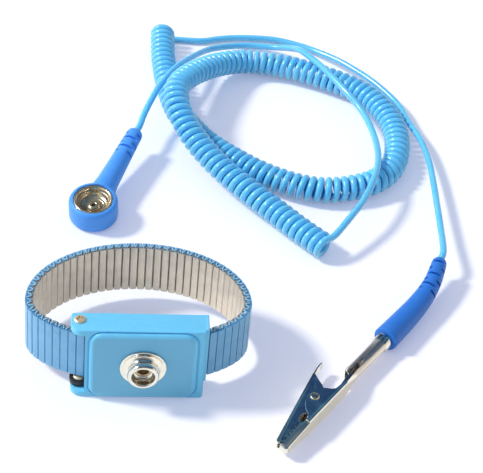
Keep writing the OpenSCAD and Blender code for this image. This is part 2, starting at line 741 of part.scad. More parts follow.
// ---- free leads
lead_z = cord_d / 2 + 0.1;
grip_in = plug_pt(relief_l - grip_l + 0.2, relief_z);
plug_exit = plug_pt(relief_l, relief_z);
plug_dir = unit(plug_exit - grip_in);
plug_route = concat([grip_in, plug_exit, plug_exit + 4 * plug_dir],
    [[3, 109.5, 9.9], [5.5, 116.5, 10.9], [9, 125.5, 11.4], [15, 137, 11], [21, 147, 8.5],
     [29.5, 158.5, 4.5], [42, 165, 1.9], [54, 163, 3], [60.5, 157, 7], [63.8, 151, 9.9],
     [70.5, 138.5, 11.6], [77.5, 125.5, 11.2], [83, 116, 9.4], [86, 104, 8.6], [86, 89, 10.4],
     [83.5, 76.5, 11.5], [78.5, 64.5, 10.8], [73, 56, 9.8]],
    [coil_start - 4 * coil_in, coil_start]);
module plug_lead() {
    color(cord_blue)
        tube(smooth(plug_route, 2), cord_d / 2, 8);
}

// ---- alligator clip: u along it from the tips, v across the jaws, w upright
clip_x = 42.2;
clip_y = -43.7;
clip_a = 51.2;
clip_z = boot_d / 2;
module place_clip() {
    translate([clip_x, clip_y, clip_z])
        rotate([0, 0, clip_a])
            children();
}
function clip_pt(u, v, w) = [clip_x + u * cos(clip_a) - v * sin(clip_a),
    clip_y + u * sin(clip_a) + v * cos(clip_a), clip_z + w];
rivet_u = 21.5;
rivet_v = 1.8;
jaw_w = clip_w - 2 * clip_t - 0.2;    // width of the upper jaw and of both tips
barrel_od = barrel_id + 2 * barrel_wall;
barrel_u = 40;
boot_u = clip_l + 0.4;

// boot: a bent, tapered sleeve
boot_line = smooth([clip_pt(boot_u, 0, 0), clip_pt(boot_u + 12, 0, 0.05),
    clip_pt(boot_u + 22, 0.2, 0.7), clip_pt(boot_u + 31, 1.3, 2), clip_pt(boot_u + 40.4, 4.2, 3.8)],
    4);
boot_n = len(boot_line) - 1;
boot_r = [for (i = [0:boot_n]) let (f = i / boot_n)
    boot_d / 2 - 0.5 * f - (boot_d / 2 - boot_end_d / 2 - 0.5) * pow(f, 1.5)
        - (i == boot_n ? 0.5 : i == 0 ? 0.15 : 0)];
boot_end = boot_line[boot_n];
boot_dir = along(boot_line, boot_n);
lead_route = concat([coil_end, coil_end + 4 * coil_out],
    [[26, 168, lead_z], [34, 170, lead_z], [42.5, 171, lead_z], [54, 170.5, lead_z],
     [62, 168, lead_z], [69.5, 163.5, 1.8], [79, 154.5, 3.4], [88.5, 143, 4.4],
     [95.2, 133.5, 4.2], [99, 126, 3.9], [101, 117.5, 4], [104.4, 105, 4.6],
     [105.6, 92, 5.2], [105.4, 79, 6], [104.8, 66, 6.8], [104.2, 53, 7.6]],
    [boot_end + 4.5 * boot_dir, boot_end, boot_end - grip_l * boot_dir]);
module clip_lead() {
    color(cord_blue)
        tube(smooth(lead_route, 2), cord_d / 2, 8);
}

pin_d = barrel_id - 2 * run;
pin_u = boot_u - 15;                  // tip of the pin inside the barrel
pin_root = boot_u + 18;
function boot_frame(i) = let (t = along(boot_line, i), a = unit(cross(t, [0, 0, 1])))
    [t, a, cross(a, t)];
module clip_boot() {
    color(plug_blue)
        difference() {
            tube(boot_line, boot_r, 20);
            // mouth round the barrel, then the body of the pin
            place_clip() {
                translate([boot_u - 1, 0, 0])
                    rotate([0, 90, 0])
                        cylinder(h = 5, d = barrel_od + 0.9, $fn = 48);
                translate([boot_u - 1, 0, 0])
                    rotate([0, 90, 0])
                        cylinder(h = pin_root - boot_u + 1 + seat, d = pin_d + 2 * seat,
                            $fn = 48);
            }
            // bore for the cord
            translate(boot_end)
                multmatrix([for (k = [0:2]) [boot_dir[k], boot_frame(boot_n)[1][k],
                    boot_frame(boot_n)[2][k], 0]])
                    rotate([0, 90, 0])
                        translate([0, 0, -grip_l - seat])
                            cylinder(h = grip_l + 2, d = cord_d + 2 * seat, $fn = 48);
            // flex slots, turned a quarter from one to the next
            for (k = [0:4]) {
                i = boot_n - 1.2 - 1.02 * k;
                j = floor(i);
                c = boot_line[j] + (i - j) * (boot_line[j + 1] - boot_line[j]);
                f = boot_frame(j);
                translate(c)
                    multmatrix([for (m = [0:2]) [f[0][m], f[1][m], f[2][m], 0]])
                        rotate([90 * (k % 2), 0, 0])
                            for (s = [-1, 1])
                                translate([0, s * (cord_d / 2 + 0.45 + 2), 0])
                                    cube([slot_w, 4, 12], center = true);
            }
        }
}

module banana_pin() {
    r = pin_d / 2;
    color(nickel)
        place_clip()
            translate([pin_u, 0, 0])
                rotate([0, 90, 0])
                    rotate_extrude($fn = 64)
                        polygon([[0, 0], [0.6, 0], [r - 0.35, 0.8], [r, 2], [r, 13],
                            [r - 0.25, 13.4], [r - 0.25, 14.2], [r, 14.6],
                            [r, pin_root - pin_u], [0, pin_root - pin_u]]);
}

// outline of one cheek of the lower jaw
module lower_cheek() {
    polygon([[12, -2.9], [33.5, -2.9 + 0.6], [33.5, -1.0], [30.6, -1.0], [28.6, 1.2],
        [26.4, 3.0], [23.6, 4.2], [21, 4.6], [18.8, 4.1], [17, 2.9], [15.6, 1.2],
        [14.4, -0.7], [12, -0.9]]);
}

tooth = 1.6;
module lower_front() {
    n = 7;
    polygon(concat([[14.5, -2.9], [14.5, -1.0]],
        [for (i = [n:-1:0], k = [1, 0])
            [0.6 + tooth * (i + k / 2) , k == 1 ? -0.65 : 0.15]],
        [[0.1, -0.6], [0, -2.2], [0.6, -2.9]]));
}

module clip_lower_jaw() {
    h = clip_w / 2;
    j = jaw_w / 2;
    color(nickel)
        place_clip()
            difference() {
                union() {
                    // tip with its teeth
                    for (s = [0, 1])
                        mirror([0, 0, s])
                            translate([0, 0, j - clip_t])
                                linear_extrude(height = clip_t)
                                    lower_front();
                    translate([0.35, spine_v, -j])
                        cube([14.2, clip_t, 2 * j]);
                    translate([0, spine_v, -j])
                        cube([clip_t, 1.9, 2 * j]);
                    // cheeks on both sides of the upper jaw
                    for (s = [0, 1])
                        mirror([0, 0, s])
                            translate([0, 0, h - clip_t])
                                linear_extrude(height = clip_t)
                                    lower_cheek();
                    // spine, drawn in to the barrel
                    hull() {
                        translate([12, spine_v, -h])
                            cube([0.1, clip_t, 2 * h]);
                        translate([33.4, -2.3, -h])
                            cube([0.1, clip_t, 2 * h]);
                    }
                    difference() {
                        hull() {
                            translate([33.3, -2.3, -h])
                                cube([0.2, 1.3, 2 * h]);
                            translate([barrel_u + 0.4, 0, 0])
                                rotate([0, 90, 0])
                                    cylinder(h = 0.1, d = barrel_od, $fn = 32);
                        }
                        hull() {
                            translate([33.0, -2.3 + clip_t, -h + clip_t])
                                cube([0.3, 2, 2 * h - 2 * clip_t]);
                            translate([barrel_u + 0.5, 0.2, 0])
                                rotate([0, 90, 0])
                                    cylinder(h = 0.1, d = barrel_id - 0.4, $fn = 32);
                        }
                        translate([32, -0.6, -h - 1])
                            cube([5.5, 6, 2 * h + 2]);
                    }
                    // rolled barrel with a flared collar
                    translate([barrel_u, 0, 0])
                        rotate([0, 90, 0])
                            rotate_extrude($fn = 64)
                                polygon([[barrel_id / 2, 0], [barrel_od / 2, 0],
                                    [barrel_od / 2, clip_l - barrel_u - 3.6],
                                    [barrel_od / 2 + 0.4, clip_l - barrel_u - 2.9],
                                    [barrel_od / 2 + 0.4, clip_l - barrel_u],
                                    [barrel_id / 2, clip_l - barrel_u]]);
                }
                // open seam of the barrel
                translate([barrel_u - 2.5, -0.2, 0])
                    rotate([45, 0, 0])
                        translate([0, -0.2, 0])
                            cube([clip_l, 0.4, 4]);
                // rivet holes
                translate([rivet_u, rivet_v, -h - 1])
                    cylinder(h = clip_w + 2, d = rivet_d + 2 * seat, $fn = 48);
            }
}

// upper jaw: teeth between the lower ones, cheeks inside the lower cheeks, thumb tab
module upper_cheek() {
    n = 7;
    polygon(concat(
        [for (i = [0:n], k = [0, 1])
            [0.6 + tooth * (i + k / 2), (k == 1 ? -0.65 : 0.15) + 0.12]],
        [[14.2, -0.4], [17, -0.6], [20, -0.7], [23, -0.6], [25.4, 0.4], [27.6, 3.0], [28.6, 5],
         [30, 7.2], [30, 8.2], [0.9, 1.65], [0.2, 1.3], [0, 0.6]]));
}

module clip_upper_jaw() {
    j = jaw_w / 2;
    color(nickel)
        place_clip()
            difference() {
                union() {
                    for (s = [0, 1])
                        mirror([0, 0, s])
                            translate([0, 0, j - clip_t])
                                linear_extrude(height = clip_t)
                                    upper_cheek();
                    // back, from the tip to the thumb tab
                    translate([0, 0, -j])
                        linear_extrude(height = 2 * j)
                            polygon([[0.9, 1.65], [30, 8.2], [30.1, 7.7], [1.1, 1.15]]);
                    translate([0, 0, -j])
                        linear_extrude(height = 2 * j)
                            polygon([[0, 0.6], [0.2, 1.3], [0.9, 1.65], [1.1, 1.15],
                                [0.6, 0.9], [0.5, 0.6]]);
                    translate([0, 0, -j + 0.8])
                        linear_extrude(height = 2 * j - 1.6)
                            polygon([[29.9, 8.2], [33.5, 9.3], [37.4, 10.0], [37.8, 9.8],
                                [37.5, 9.5], [33.7, 8.8], [30.1, 7.7]]);
                }
                translate([rivet_u, rivet_v, -j - 1])
                    cylinder(h = jaw_w + 2, d = rivet_d + 2 * run, $fn = 48);
            }
}

module clip_rivet() {
    h = clip_w / 2;
    r = rivet_d / 2;
    color(steel)
        place_clip()
            translate([rivet_u, rivet_v, 0])
                rotate_extrude($fn = 48)
                    polygon([[0, -h - 0.45], [r + 0.2, -h - 0.45], [r + 0.75, -h - 0.2],
                        [r + 0.75, -h - seat], [r, -h - seat], [r, h + seat],
                        [r + 0.75, h + seat], [r + 0.75, h + 0.2], [r + 0.2, h + 0.45],
                        [0, h + 0.45]]);
}

// torsion spring round the rivet: its lower leg ends over the lower jaw's spine,
// its upper leg under the upper jaw's back
spine_v = -2.9;                       // outer face of the lower jaw's spine
module clip_spring() {
    w = 0.7;
    r = rivet_d / 2 + 0.35 + w / 2;
    t_low = -60;                      // angles at which the legs leave the coils
    t_up = 83;
    turns = 3 + (t_up - t_low) / 360;
    wide = jaw_w - 2 * clip_t - 1.0;
    m = 30;
    body = [for (i = [0:m]) let (t = t_low + 360 * turns * i / m)
        [r * cos(t), r * sin(t), (i / m - 0.5) * (wide - w)]];
    low_l = (rivet_v - spine_v - clip_t - w / 2 - gap + r * sin(t_low)) / cos(t_low);
    a = body[0] - low_l * [-sin(t_low), cos(t_low), 0];
    b = body[m] + 5 * [-sin(t_up), cos(t_up), 0];
    line = concat([a], body, [b]);
    rings = [for (i = [0:len(line) - 1])
        let (t = along(line, i), n = square_to([0, 0, 1], t))
        each ring(line[i], n, cross(t, n), w / 2, 6)];
    color(nickel)
        place_clip()
            translate([rivet_u, rivet_v, 0])
                polyhedron(points = rings, faces = tube_faces(len(line), 6), convexity = 6);
}

module paint(c) {
    color(c)
        children();
}
module outer_links_left() { paint(band_blue) outer_links(back_to + 1, link_n - 1); }
module outer_links_right() { paint(band_blue) outer_links(0, back_from - 1); }
module outer_links_back() { paint(band_blue) outer_links(back_from, back_to); }
module inner_links_left() { paint(steel) inner_links(back_to + 1, link_n); }
module inner_links_right() { paint(steel) inner_links(0, back_from); }
module inner_links_back() { paint(steel) inner_links(back_from + 1, back_to); }
module staples_left() {
    paint(band_blue) {
        staples(back_to + 1, link_n - 1, true, true);
        staple(back_to, 1);
    }
}
module staples_right() {
    paint(band_blue) {
        staples(0, back_from - 1, true, true);
        staple(back_from, -1);
    }
}
module staples_back() { paint(band_blue) staples(back_from, back_to, false, false); }

clasp_housing();
contact_plate();
snap_stud();
stud_eyelet();
clamp_lever();
hinge_screws();
band_anchor();
clasp_links();
outer_links_left();
outer_links_right();
outer_links_back();
inner_links_left();
inner_links_right();
inner_links_back();
staples_left();
staples_right();
staples_back();
plug_body();
socket_cup();
socket_spring();
socket_eyelet();
resistor();
plug_lead();
curly_cord();
clip_lead();
clip_boot();
banana_pin();
clip_lower_jaw();
clip_upper_jaw();
clip_rivet();
clip_spring();
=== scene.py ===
"""Dressed model of a grounding wrist strap with its curly ground cord.

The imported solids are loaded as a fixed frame.  Shapes are written in millimetres in
that frame and turned into metres when a piece is finished.
"""
import json
import logging
import math
from bisect import bisect_left
from dataclasses import dataclass, field
from enum import Enum
from itertools import accumulate
from typing import Any, Callable, Iterable, Sequence

import bmesh
import bpy
from mathutils import Matrix, Vector
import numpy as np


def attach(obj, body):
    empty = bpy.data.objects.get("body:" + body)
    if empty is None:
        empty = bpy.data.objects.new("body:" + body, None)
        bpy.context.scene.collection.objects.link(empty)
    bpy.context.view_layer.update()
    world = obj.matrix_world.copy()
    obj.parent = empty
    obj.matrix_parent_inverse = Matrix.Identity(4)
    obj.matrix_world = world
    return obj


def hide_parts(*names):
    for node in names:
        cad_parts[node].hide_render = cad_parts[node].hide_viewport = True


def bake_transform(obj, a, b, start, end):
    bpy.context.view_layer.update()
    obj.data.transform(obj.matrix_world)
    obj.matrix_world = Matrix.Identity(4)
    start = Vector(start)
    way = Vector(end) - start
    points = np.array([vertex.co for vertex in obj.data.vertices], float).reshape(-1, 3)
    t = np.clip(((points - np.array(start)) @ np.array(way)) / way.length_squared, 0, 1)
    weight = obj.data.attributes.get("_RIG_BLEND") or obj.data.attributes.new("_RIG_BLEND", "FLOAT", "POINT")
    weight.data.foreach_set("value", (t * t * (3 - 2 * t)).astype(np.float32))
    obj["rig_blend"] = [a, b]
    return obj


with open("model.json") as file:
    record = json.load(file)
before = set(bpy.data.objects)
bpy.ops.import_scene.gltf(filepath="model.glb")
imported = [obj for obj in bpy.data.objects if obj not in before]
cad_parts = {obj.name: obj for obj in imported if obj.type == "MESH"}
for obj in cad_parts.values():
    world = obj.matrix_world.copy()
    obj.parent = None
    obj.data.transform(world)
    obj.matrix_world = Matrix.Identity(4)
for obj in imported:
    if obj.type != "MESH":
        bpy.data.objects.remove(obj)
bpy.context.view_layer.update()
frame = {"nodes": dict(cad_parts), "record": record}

MM = 0.001
SNUG = 0.04                 # clearance of a seat round what sits in it
SQUARE = 60.0               # edges that turn by more than this, in degrees, are square ones
CORD = 2.4                  # the cord's diameter
RELIEF_LENGTH = 39.6        # the plug's relief, from the socket's middle
RELIEF_HEIGHT = 4.2         # the relief's middle over the head's underside
FLEX_SLOT = 0.9             # width of the flex slots in both reliefs
LINK_HEIGHT = 17.9          # height of the band's links
BAND_SIDE = 16.2            # where the band's loop ends beside the clasp
BLEND = "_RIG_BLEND"         # the attribute that says how a piece follows two bodies
Colour = tuple[float, float, float]
Pair = tuple[float, float]
UP = Vector((0.0, 0.0, 1.0))
log = logging.getLogger("wrist_strap")


class Body(Enum):
    """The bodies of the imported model."""

    ROOT = "root"
    BAND_BACK = "band_back"
    LEVER = "clamp_lever"
    CLIP = "clip_frame"
    JAW = "clip_jaw"


class Slot(Enum):
    """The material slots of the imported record."""

    HOUSING = "housing_blue"
    PLUG = "plug_blue"
    CORD = "cord_blue"
    PAINT = "band_paint"
    STEEL = "band_steel"
    NICKEL = "nickel"
    WARM = "warm_steel"
    BLACK = "black_plastic"
    RESISTOR = "resistor_tan"


class Layer(Enum):
    """The two layers of links, with the side of the band's middle that each lies on."""

    OUTER = -1
    INNER = 1


class Run(Enum):
    """The stretches of the band."""

    RIGHT = "right"
    BACK = "back"
    LEFT = "left"


# ---------------------------------------------------------------- node trees


def rgba(colour: Colour) -> tuple[float, float, float, float]:
    """Returns a colour with full alpha."""
    return (*colour, 1.0)


class Wiring:
    """A node tree that is filled by adding nodes and linking their sockets."""

    def __init__(self, tree: bpy.types.NodeTree) -> None:
        """Takes the tree to fill, and empties it."""
        self.tree = tree
        tree.nodes.clear()

    def feed(self, node: bpy.types.Node, inputs: dict[str | int, Any]) -> None:
        """Sets or links a node's inputs.

        Args:
            node: the node.
            inputs: socket name or number to a value, or to a socket that feeds it.
        """
        for name, value in inputs.items():
            if isinstance(value, bpy.types.NodeSocket):
                self.tree.links.new(value, node.inputs[name])
            else:
                node.inputs[name].default_value = value

    def add(self, kind: str, inputs: dict[str | int, Any] | None = None, **settings: Any) -> bpy.types.Node:
        """Adds a node.

        Args:
            kind: the node's type, such as "ShaderNodeBump".
            inputs: as for feed.
            settings: properties of the node itself.

        Returns:
            The new node.
        """
        node = self.tree.nodes.new(kind)
        for name, value in settings.items():
            setattr(node, name, value)
        self.feed(node, inputs or {})
        return node

    def group(self, tree: bpy.types.NodeTree, **inputs: Any) -> bpy.types.Node:
        """Places a node group, with its inputs by name."""
        return self.add("ShaderNodeGroup", inputs, node_tree=tree)

    def math(self, operation: str, first: Any, second: Any = 0.0) -> bpy.types.NodeSocket:
        """Adds a Math node for two numbers or sockets, and returns its output."""
        return self.add("ShaderNodeMath", {0: first, 1: second}, operation=operation).outputs[0]

    def times(self, first: Any, second: Any) -> bpy.types.NodeSocket:
        """Multiplies two numbers or sockets."""
        return self.math("MULTIPLY", first, second)

    def blend(self, amount: Any, first: Any, second: Any) -> bpy.types.NodeSocket:
        """Mixes two colours or sockets: an amount of 0 is the first, 1 the second."""
        return self.add("ShaderNodeMix", {0: amount, 6: first, 7: second}, data_type="RGBA").outputs[2]

    def spread(self, value: Any, low: float, high: float) -> bpy.types.NodeSocket:
        """Stretches a value from low..high to 0..1, clamped."""
        return self.add("ShaderNodeMapRange", {"Value": value, "From Min": low, "From Max": high}).outputs["Result"]

    def split(self, vector: Any) -> bpy.types.NodeOutputs:
        """Splits a vector into its X, Y and Z."""
        return self.add("ShaderNodeSeparateXYZ", {0: vector}).outputs

    def noise(self, vector: Any, scale: Any, detail: float, roughness: float = 0.55) -> bpy.types.NodeSocket:
        """Adds a noise texture from 0 to 1, with its frequency per metre and its finer layers."""
        return self.add("ShaderNodeTexNoise", {"Vector": vector, "Scale": scale, "Detail": detail,
                                               "Roughness": roughness}).outputs["Fac"]


class Effects:
    """Shader node groups that several finishes share, each built once."""

    def __init__(self) -> None:
        """Builds the groups."""
        colour, number, vector = "Color", "Float", "Vector"
        at, size, amount = {"Vector": vector}, {"Scale": number}, {"Amount": number}
        self.mottle = self._group("mottle", {**at, "Base": colour, "Shade": colour, **size, **amount},
                                  {"Color": colour}, self._mottle)
        self.skin = self._group("moulded_skin", {**at, **size}, {"Height": number}, self._skin)
        self.scuffs = self._group("scuffs", {**at, **size, **amount}, {"Mask": number}, self._scuffs)
        self.dust = self._group("dust", {**at, **size, **amount}, {"Mask": number}, self._dust)
        self.grain = self._group("drawn_grain", {**at, **size}, {"Height": number, "Mask": number}, self._grain)

    @staticmethod
    def _group(name: str, inputs: dict[str, str], outputs: dict[str, str],
               wire: Callable[[Wiring, bpy.types.NodeOutputs], dict[str, Any]]) -> bpy.types.NodeTree:
        """Makes one group.

        Args:
            name: the group's name.
            inputs: input socket names to their types.
            outputs: output socket names to their types.
            wire: a method that wires the group from its inputs and gives what feeds its outputs.

        Returns:
            The group's tree.
        """
        tree = bpy.data.node_groups.new(name, "ShaderNodeTree")
        for way, sockets in (("INPUT", inputs), ("OUTPUT", outputs)):
            for label, kind in sockets.items():
                tree.interface.new_socket(label, in_out=way, socket_type=f"NodeSocket{kind}")
        w = Wiring(tree)
        w.add("NodeGroupOutput", wire(w, w.add("NodeGroupInput").outputs))
        return tree

    @staticmethod
    def _mottle(w: Wiring, given: bpy.types.NodeOutputs) -> dict[str, Any]:
        """Wires the group that drifts a colour towards a shade of it.

        Args:
            w: the group's wiring.
            given: the group's inputs.

        Returns:
            What feeds each output, as for the other groups.
        """
        cloud = w.spread(w.noise(given["Vector"], given["Scale"], 4.0), 0.35, 0.68)
        return {"Color": w.blend(w.times(cloud, given["Amount"]), given["Base"], given["Shade"])}

    @staticmethod
    def _skin(w: Wiring, given: bpy.types.NodeOutputs) -> dict[str, Any]:
        """Wires the fine pitted skin that a mould leaves, over a wider swell."""
        wide = w.noise(given["Vector"], w.times(given["Scale"], 0.13), 2.0)
        return {"Height": w.math("ADD", w.noise(given["Vector"], given["Scale"], 2.0), w.times(wide, 0.8))}

    @staticmethod
    def _scuffs(w: Wiring, given: bpy.types.NodeOutputs) -> dict[str, Any]:
        """Wires thin rubbed streaks in two directions.

        Args:
            w: the group's wiring.
            given: the group's inputs.

        Returns:
            What feeds each output.
        """
        streaks = []
        for angle in (0.5, 2.1):
            laid = w.add("ShaderNodeMapping", {"Vector": given["Vector"], "Rotation": (angle, 0.7 * angle, angle),
                                               "Scale": (1.0, 14.0, 14.0)}).outputs[0]
            streaks.append(w.spread(w.noise(laid, given["Scale"], 2.0), 0.62, 0.74))
        return {"Mask": w.times(w.math("MAXIMUM", *streaks), given["Amount"])}

    @staticmethod
    def _dust(w: Wiring, given: bpy.types.NodeOutputs) -> dict[str, Any]:
        """Wires the dust that settles on what faces up.

        Args:
            w: the group's wiring.
            given: the group's inputs.

        Returns:
            What feeds each output.
        """
        facing_up = w.spread(w.split(w.add("ShaderNodeNewGeometry").outputs["Normal"])["Z"], 0.5, 1.0)
        specks = w.spread(w.noise(given["Vector"], given["Scale"], 5.0, 0.7), 0.5, 0.72)
        return {"Mask": w.times(w.times(facing_up, specks), given["Amount"])}

    @staticmethod
    def _grain(w: Wiring, given: bpy.types.NodeOutputs) -> dict[str, Any]:
        """Wires the lines that rolling or drawing leaves in metal."""
        lines = w.noise(given["Vector"], given["Scale"], 3.0, 0.7)
        return {"Height": lines, "Mask": w.spread(lines, 0.3, 0.7)}


# ---------------------------------------------------------------- finishes


def start_material(name: str) -> tuple[bpy.types.Material, Wiring, bpy.types.Node, bpy.types.NodeSocket]:
    """Starts a material with its shader and Object coordinates.

    Args:
        name: the material's name.

    Returns:
        The material, its wiring, the Principled shader and the coordinate socket.
    """
    made = bpy.data.materials.new(name)
    made.use_nodes = True
    w = Wiring(made.node_tree)
    shader = w.add("ShaderNodeBsdfPrincipled")
    w.add("ShaderNodeOutputMaterial", {"Surface": shader.outputs[0]})
    return made, w, shader, w.add("ShaderNodeTexCoord").outputs["Object"]


@dataclass(frozen=True)
class PanelShade:
    """A flat area of a mould coloured a darker, greyer blue as painted shade: its middle, half sizes and face line,
    in metres.
    """

    x: float
    z: float
    half_x: float
    half_z: float
    face: float
    colour: Colour
    share: float
    edge: float = 0.0004
    step: float = 0.0001

    def mask(self, w: Wiring, where: bpy.types.NodeSocket) -> bpy.types.NodeSocket:
        """Wires the area's mask.

        Args:
            w: the material's wiring.
            where: Object coordinates.

        Returns:
            The area's share inside it and 0 outside.
        """
        place = w.split(where)
        inside = w.spread(place["Y"], self.face + self.edge, self.face + self.step)
        for axis, middle, half in (("X", self.x, self.half_x), ("Z", self.z, self.half_z)):
            off = w.math("ABSOLUTE", w.math("SUBTRACT", place[axis], middle))
            inside = w.times(inside, w.spread(off, half + self.edge, half - self.edge))
        return w.times(inside, self.share)


@dataclass(frozen=True)
class Moulded:
    """A moulded plastic: a drifting colour, a pitted skin, rubbed streaks and dust."""

    name: str
    base: Colour
    shade: Colour
    roughness: float
    drift: float = 0.35
    drift_scale: float = 60.0
    skin_scale: float = 2600.0
    bump: float = 0.00003
    rub: float = 0.12
    rub_scale: float = 260.0
    dust: float = 0.08
    dust_scale: float = 900.0
    dust_colour: Colour = (0.80, 0.84, 0.88)
    dust_roughness: float = 0.6
    coat: float = 0.0
    subsurface: float = 0.0
    sheen: float = 0.0
    panel_shade: PanelShade | None = None

    def material(self, effects: Effects) -> bpy.types.Material:
        """Builds the material.

        Args:
            effects: the shared node groups.

        Returns:
            The finished material.
        """
        made, w, shader, where = start_material(self.name)
        plain = w.group(effects.mottle, Vector=where, Base=rgba(self.base), Shade=rgba(self.shade),
                        Scale=self.drift_scale, Amount=self.drift).outputs["Color"]
        dust = w.group(effects.dust, Vector=where, Scale=self.dust_scale, Amount=self.dust).outputs["Mask"]
        rub = w.group(effects.scuffs, Vector=where, Scale=self.rub_scale, Amount=self.rub).outputs["Mask"]
        skin = w.group(effects.skin, Vector=where, Scale=self.skin_scale).outputs["Height"]
        # the front panel's darker, greyer blue is painted shade
        if self.panel_shade:
            plain = w.blend(self.panel_shade.mask(w, where), plain, rgba(self.panel_shade.colour))
        bump = w.add("ShaderNodeBump", {"Strength": 0.6, "Distance": self.bump, "Height": skin})
        w.feed(shader, {
            "Base Color": w.blend(dust, plain, rgba(self.dust_colour)),
            "Roughness": w.math("ADD", self.roughness,
                                w.math("SUBTRACT", w.times(dust, self.dust_roughness), rub)),
            "Normal": bump.outputs[0], "Coat Weight": self.coat, "Coat Roughness": 0.08,
            "Subsurface Weight": self.subsurface, "Subsurface Radius": (0.2, 0.5, 1.0),
            "Subsurface Scale": 0.0012, "Sheen Weight": self.sheen, "Sheen Roughness": 0.4})
        return made


@dataclass(frozen=True)
class Drawn:
    """A stretch of a metal piece that the drawing left dull: where its line starts, in metres, and its heading."""

    x: float
    y: float
    heading: float
    start: float
    end: float
    colour: Colour
    roughness: float
    fade_in: float = 0.0015
    fade_out: float = 0.0005
    streak_scale: float = 2600.0

    def mask(self, w: Wiring, where: bpy.types.NodeSocket) -> tuple[bpy.types.NodeSocket, bpy.types.NodeSocket]:
        """Wires the stretch's mask and its streaks.

        Args:
            w: the material's wiring.
            where: Object coordinates.

        Returns:
            The mask, and streaks from 0 to 1 that run along the stretch.
        """
        off = w.add("ShaderNodeVectorMath", {0: where, 1: (self.x, self.y, 0.0)}, operation="SUBTRACT").outputs[0]
        along = w.add("ShaderNodeVectorRotate", {"Vector": off, "Angle": -math.radians(self.heading)},
                      rotation_type="Z_AXIS").outputs[0]
        reach = w.split(along)["X"]
        thin = w.add("ShaderNodeVectorMath", {0: along, 1: (0.03, 1.0, 1.0)}, operation="MULTIPLY").outputs[0]
        inside = w.times(w.spread(reach, self.start, self.start + self.fade_in),
                         w.spread(reach, self.end, self.end - self.fade_out))
        return inside, w.spread(w.noise(thin, self.streak_scale, 2.0), 0.35, 0.65)


@dataclass(frozen=True)
class Metal:
    """A bare or plated metal: drawn lines, tarnish in patches and rubbed streaks."""

    name: str
    base: Colour
    tarnish: Colour
    roughness: float
    tarnish_amount: float = 0.3
    tarnish_scale: float = 240.0
    stretch: tuple[float, float, float] = (1.0, 1.0, 1.0)
    line_scale: float = 900.0
    line_tone: float = 0.12
    line_roughness: float = 0.08
    bump: float = 0.000006
    rub: float = 0.08
    rub_scale: float = 420.0
    wave: float = 0.0
    wave_scale: float = 150.0
    drawn: Drawn | None = None
    metallic: float = 1.0

    def material(self, effects: Effects) -> bpy.types.Material:
        """Builds the material.

        Args:
            effects: the shared node groups.

        Returns:
            The finished material.
        """
        made, w, shader, where = start_material(self.name)
        laid = w.add("ShaderNodeMapping", {"Vector": where, "Scale": self.stretch}).outputs[0]
        lines = w.group(effects.grain, Vector=laid, Scale=self.line_scale).outputs
        colour = w.group(effects.mottle, Vector=where, Base=rgba(self.base), Shade=rgba(self.tarnish),
                         Scale=self.tarnish_scale, Amount=self.tarnish_amount).outputs["Color"]
        rub = w.group(effects.scuffs, Vector=where, Scale=self.rub_scale, Amount=self.rub).outputs["Mask"]
        colour = w.blend(w.times(lines["Mask"], self.line_tone), colour, rgba(self.tarnish))
        rough = w.math("ADD", w.times(lines["Mask"], self.line_roughness), w.math("ADD", self.roughness, rub))
        if self.drawn:
            dull, streaks = self.drawn.mask(w, where)
            colour = w.blend(w.times(dull, w.math("ADD", w.times(streaks, 0.5), 0.4)), colour,
                             rgba(self.drawn.colour))
            rough = w.math("ADD", rough, w.times(w.times(dull, self.drawn.roughness),
                                                 w.math("ADD", w.times(streaks, 0.6), 0.4)))
        bump = w.add("ShaderNodeBump", {"Strength": 0.5, "Distance": self.bump, "Height": lines["Height"]})
        if self.wave:
            swell = w.add("ShaderNodeBump", {"Strength": 1.0, "Distance": self.wave,
                                             "Height": w.noise(where, self.wave_scale, 1.0)})
            w.feed(bump, {"Normal": swell.outputs[0]})
        w.feed(shader, {"Base Color": colour, "Roughness": rough, "Normal": bump.outputs[0],
                        "Metallic": self.metallic})
        return made


@dataclass(frozen=True)
class Painted:
    """A thin satin paint on steel: the drawn lines show through and it is worn in streaks."""

    name: str
    base: Colour
    shade: Colour
    roughness: float
    metallic: float
    worn: Colour = (0.42, 0.66, 0.82)
    wear: float = 0.5
    wear_scale: float = 300.0
    drift: float = 0.5
    drift_scale: float = 210.0
    line_scale: float = 2400.0
    line_roughness: float = 0.12
    coat: float = 0.3
    bump: float = 0.000008

    def material(self, effects: Effects) -> bpy.types.Material:
        """Builds the material.

        Args:
            effects: the shared node groups.

        Returns:
            The finished material.
        """
        made, w, shader, where = start_material(self.name)
        laid = w.add("ShaderNodeMapping", {"Vector": where, "Scale": (1.0, 1.0, 0.06)}).outputs[0]
        lines = w.group(effects.grain, Vector=laid, Scale=self.line_scale).outputs
        colour = w.group(effects.mottle, Vector=where, Base=rgba(self.base), Shade=rgba(self.shade),
                         Scale=self.drift_scale, Amount=self.drift).outputs["Color"]
        rub = w.group(effects.scuffs, Vector=where, Scale=self.wear_scale, Amount=self.wear).outputs["Mask"]
        bump = w.add("ShaderNodeBump", {"Strength": 0.5, "Distance": self.bump, "Height": lines["Height"]})
        w.feed(shader, {
            "Base Color": w.blend(rub, colour, rgba(self.worn)),
            "Roughness": w.math("ADD", self.roughness, w.times(lines["Mask"], self.line_roughness)),
            "Normal": bump.outputs[0], "Metallic": self.metallic, "Coat Weight": self.coat, "Coat Roughness": 0.2})
        return made


Finish = Moulded | Metal | Painted

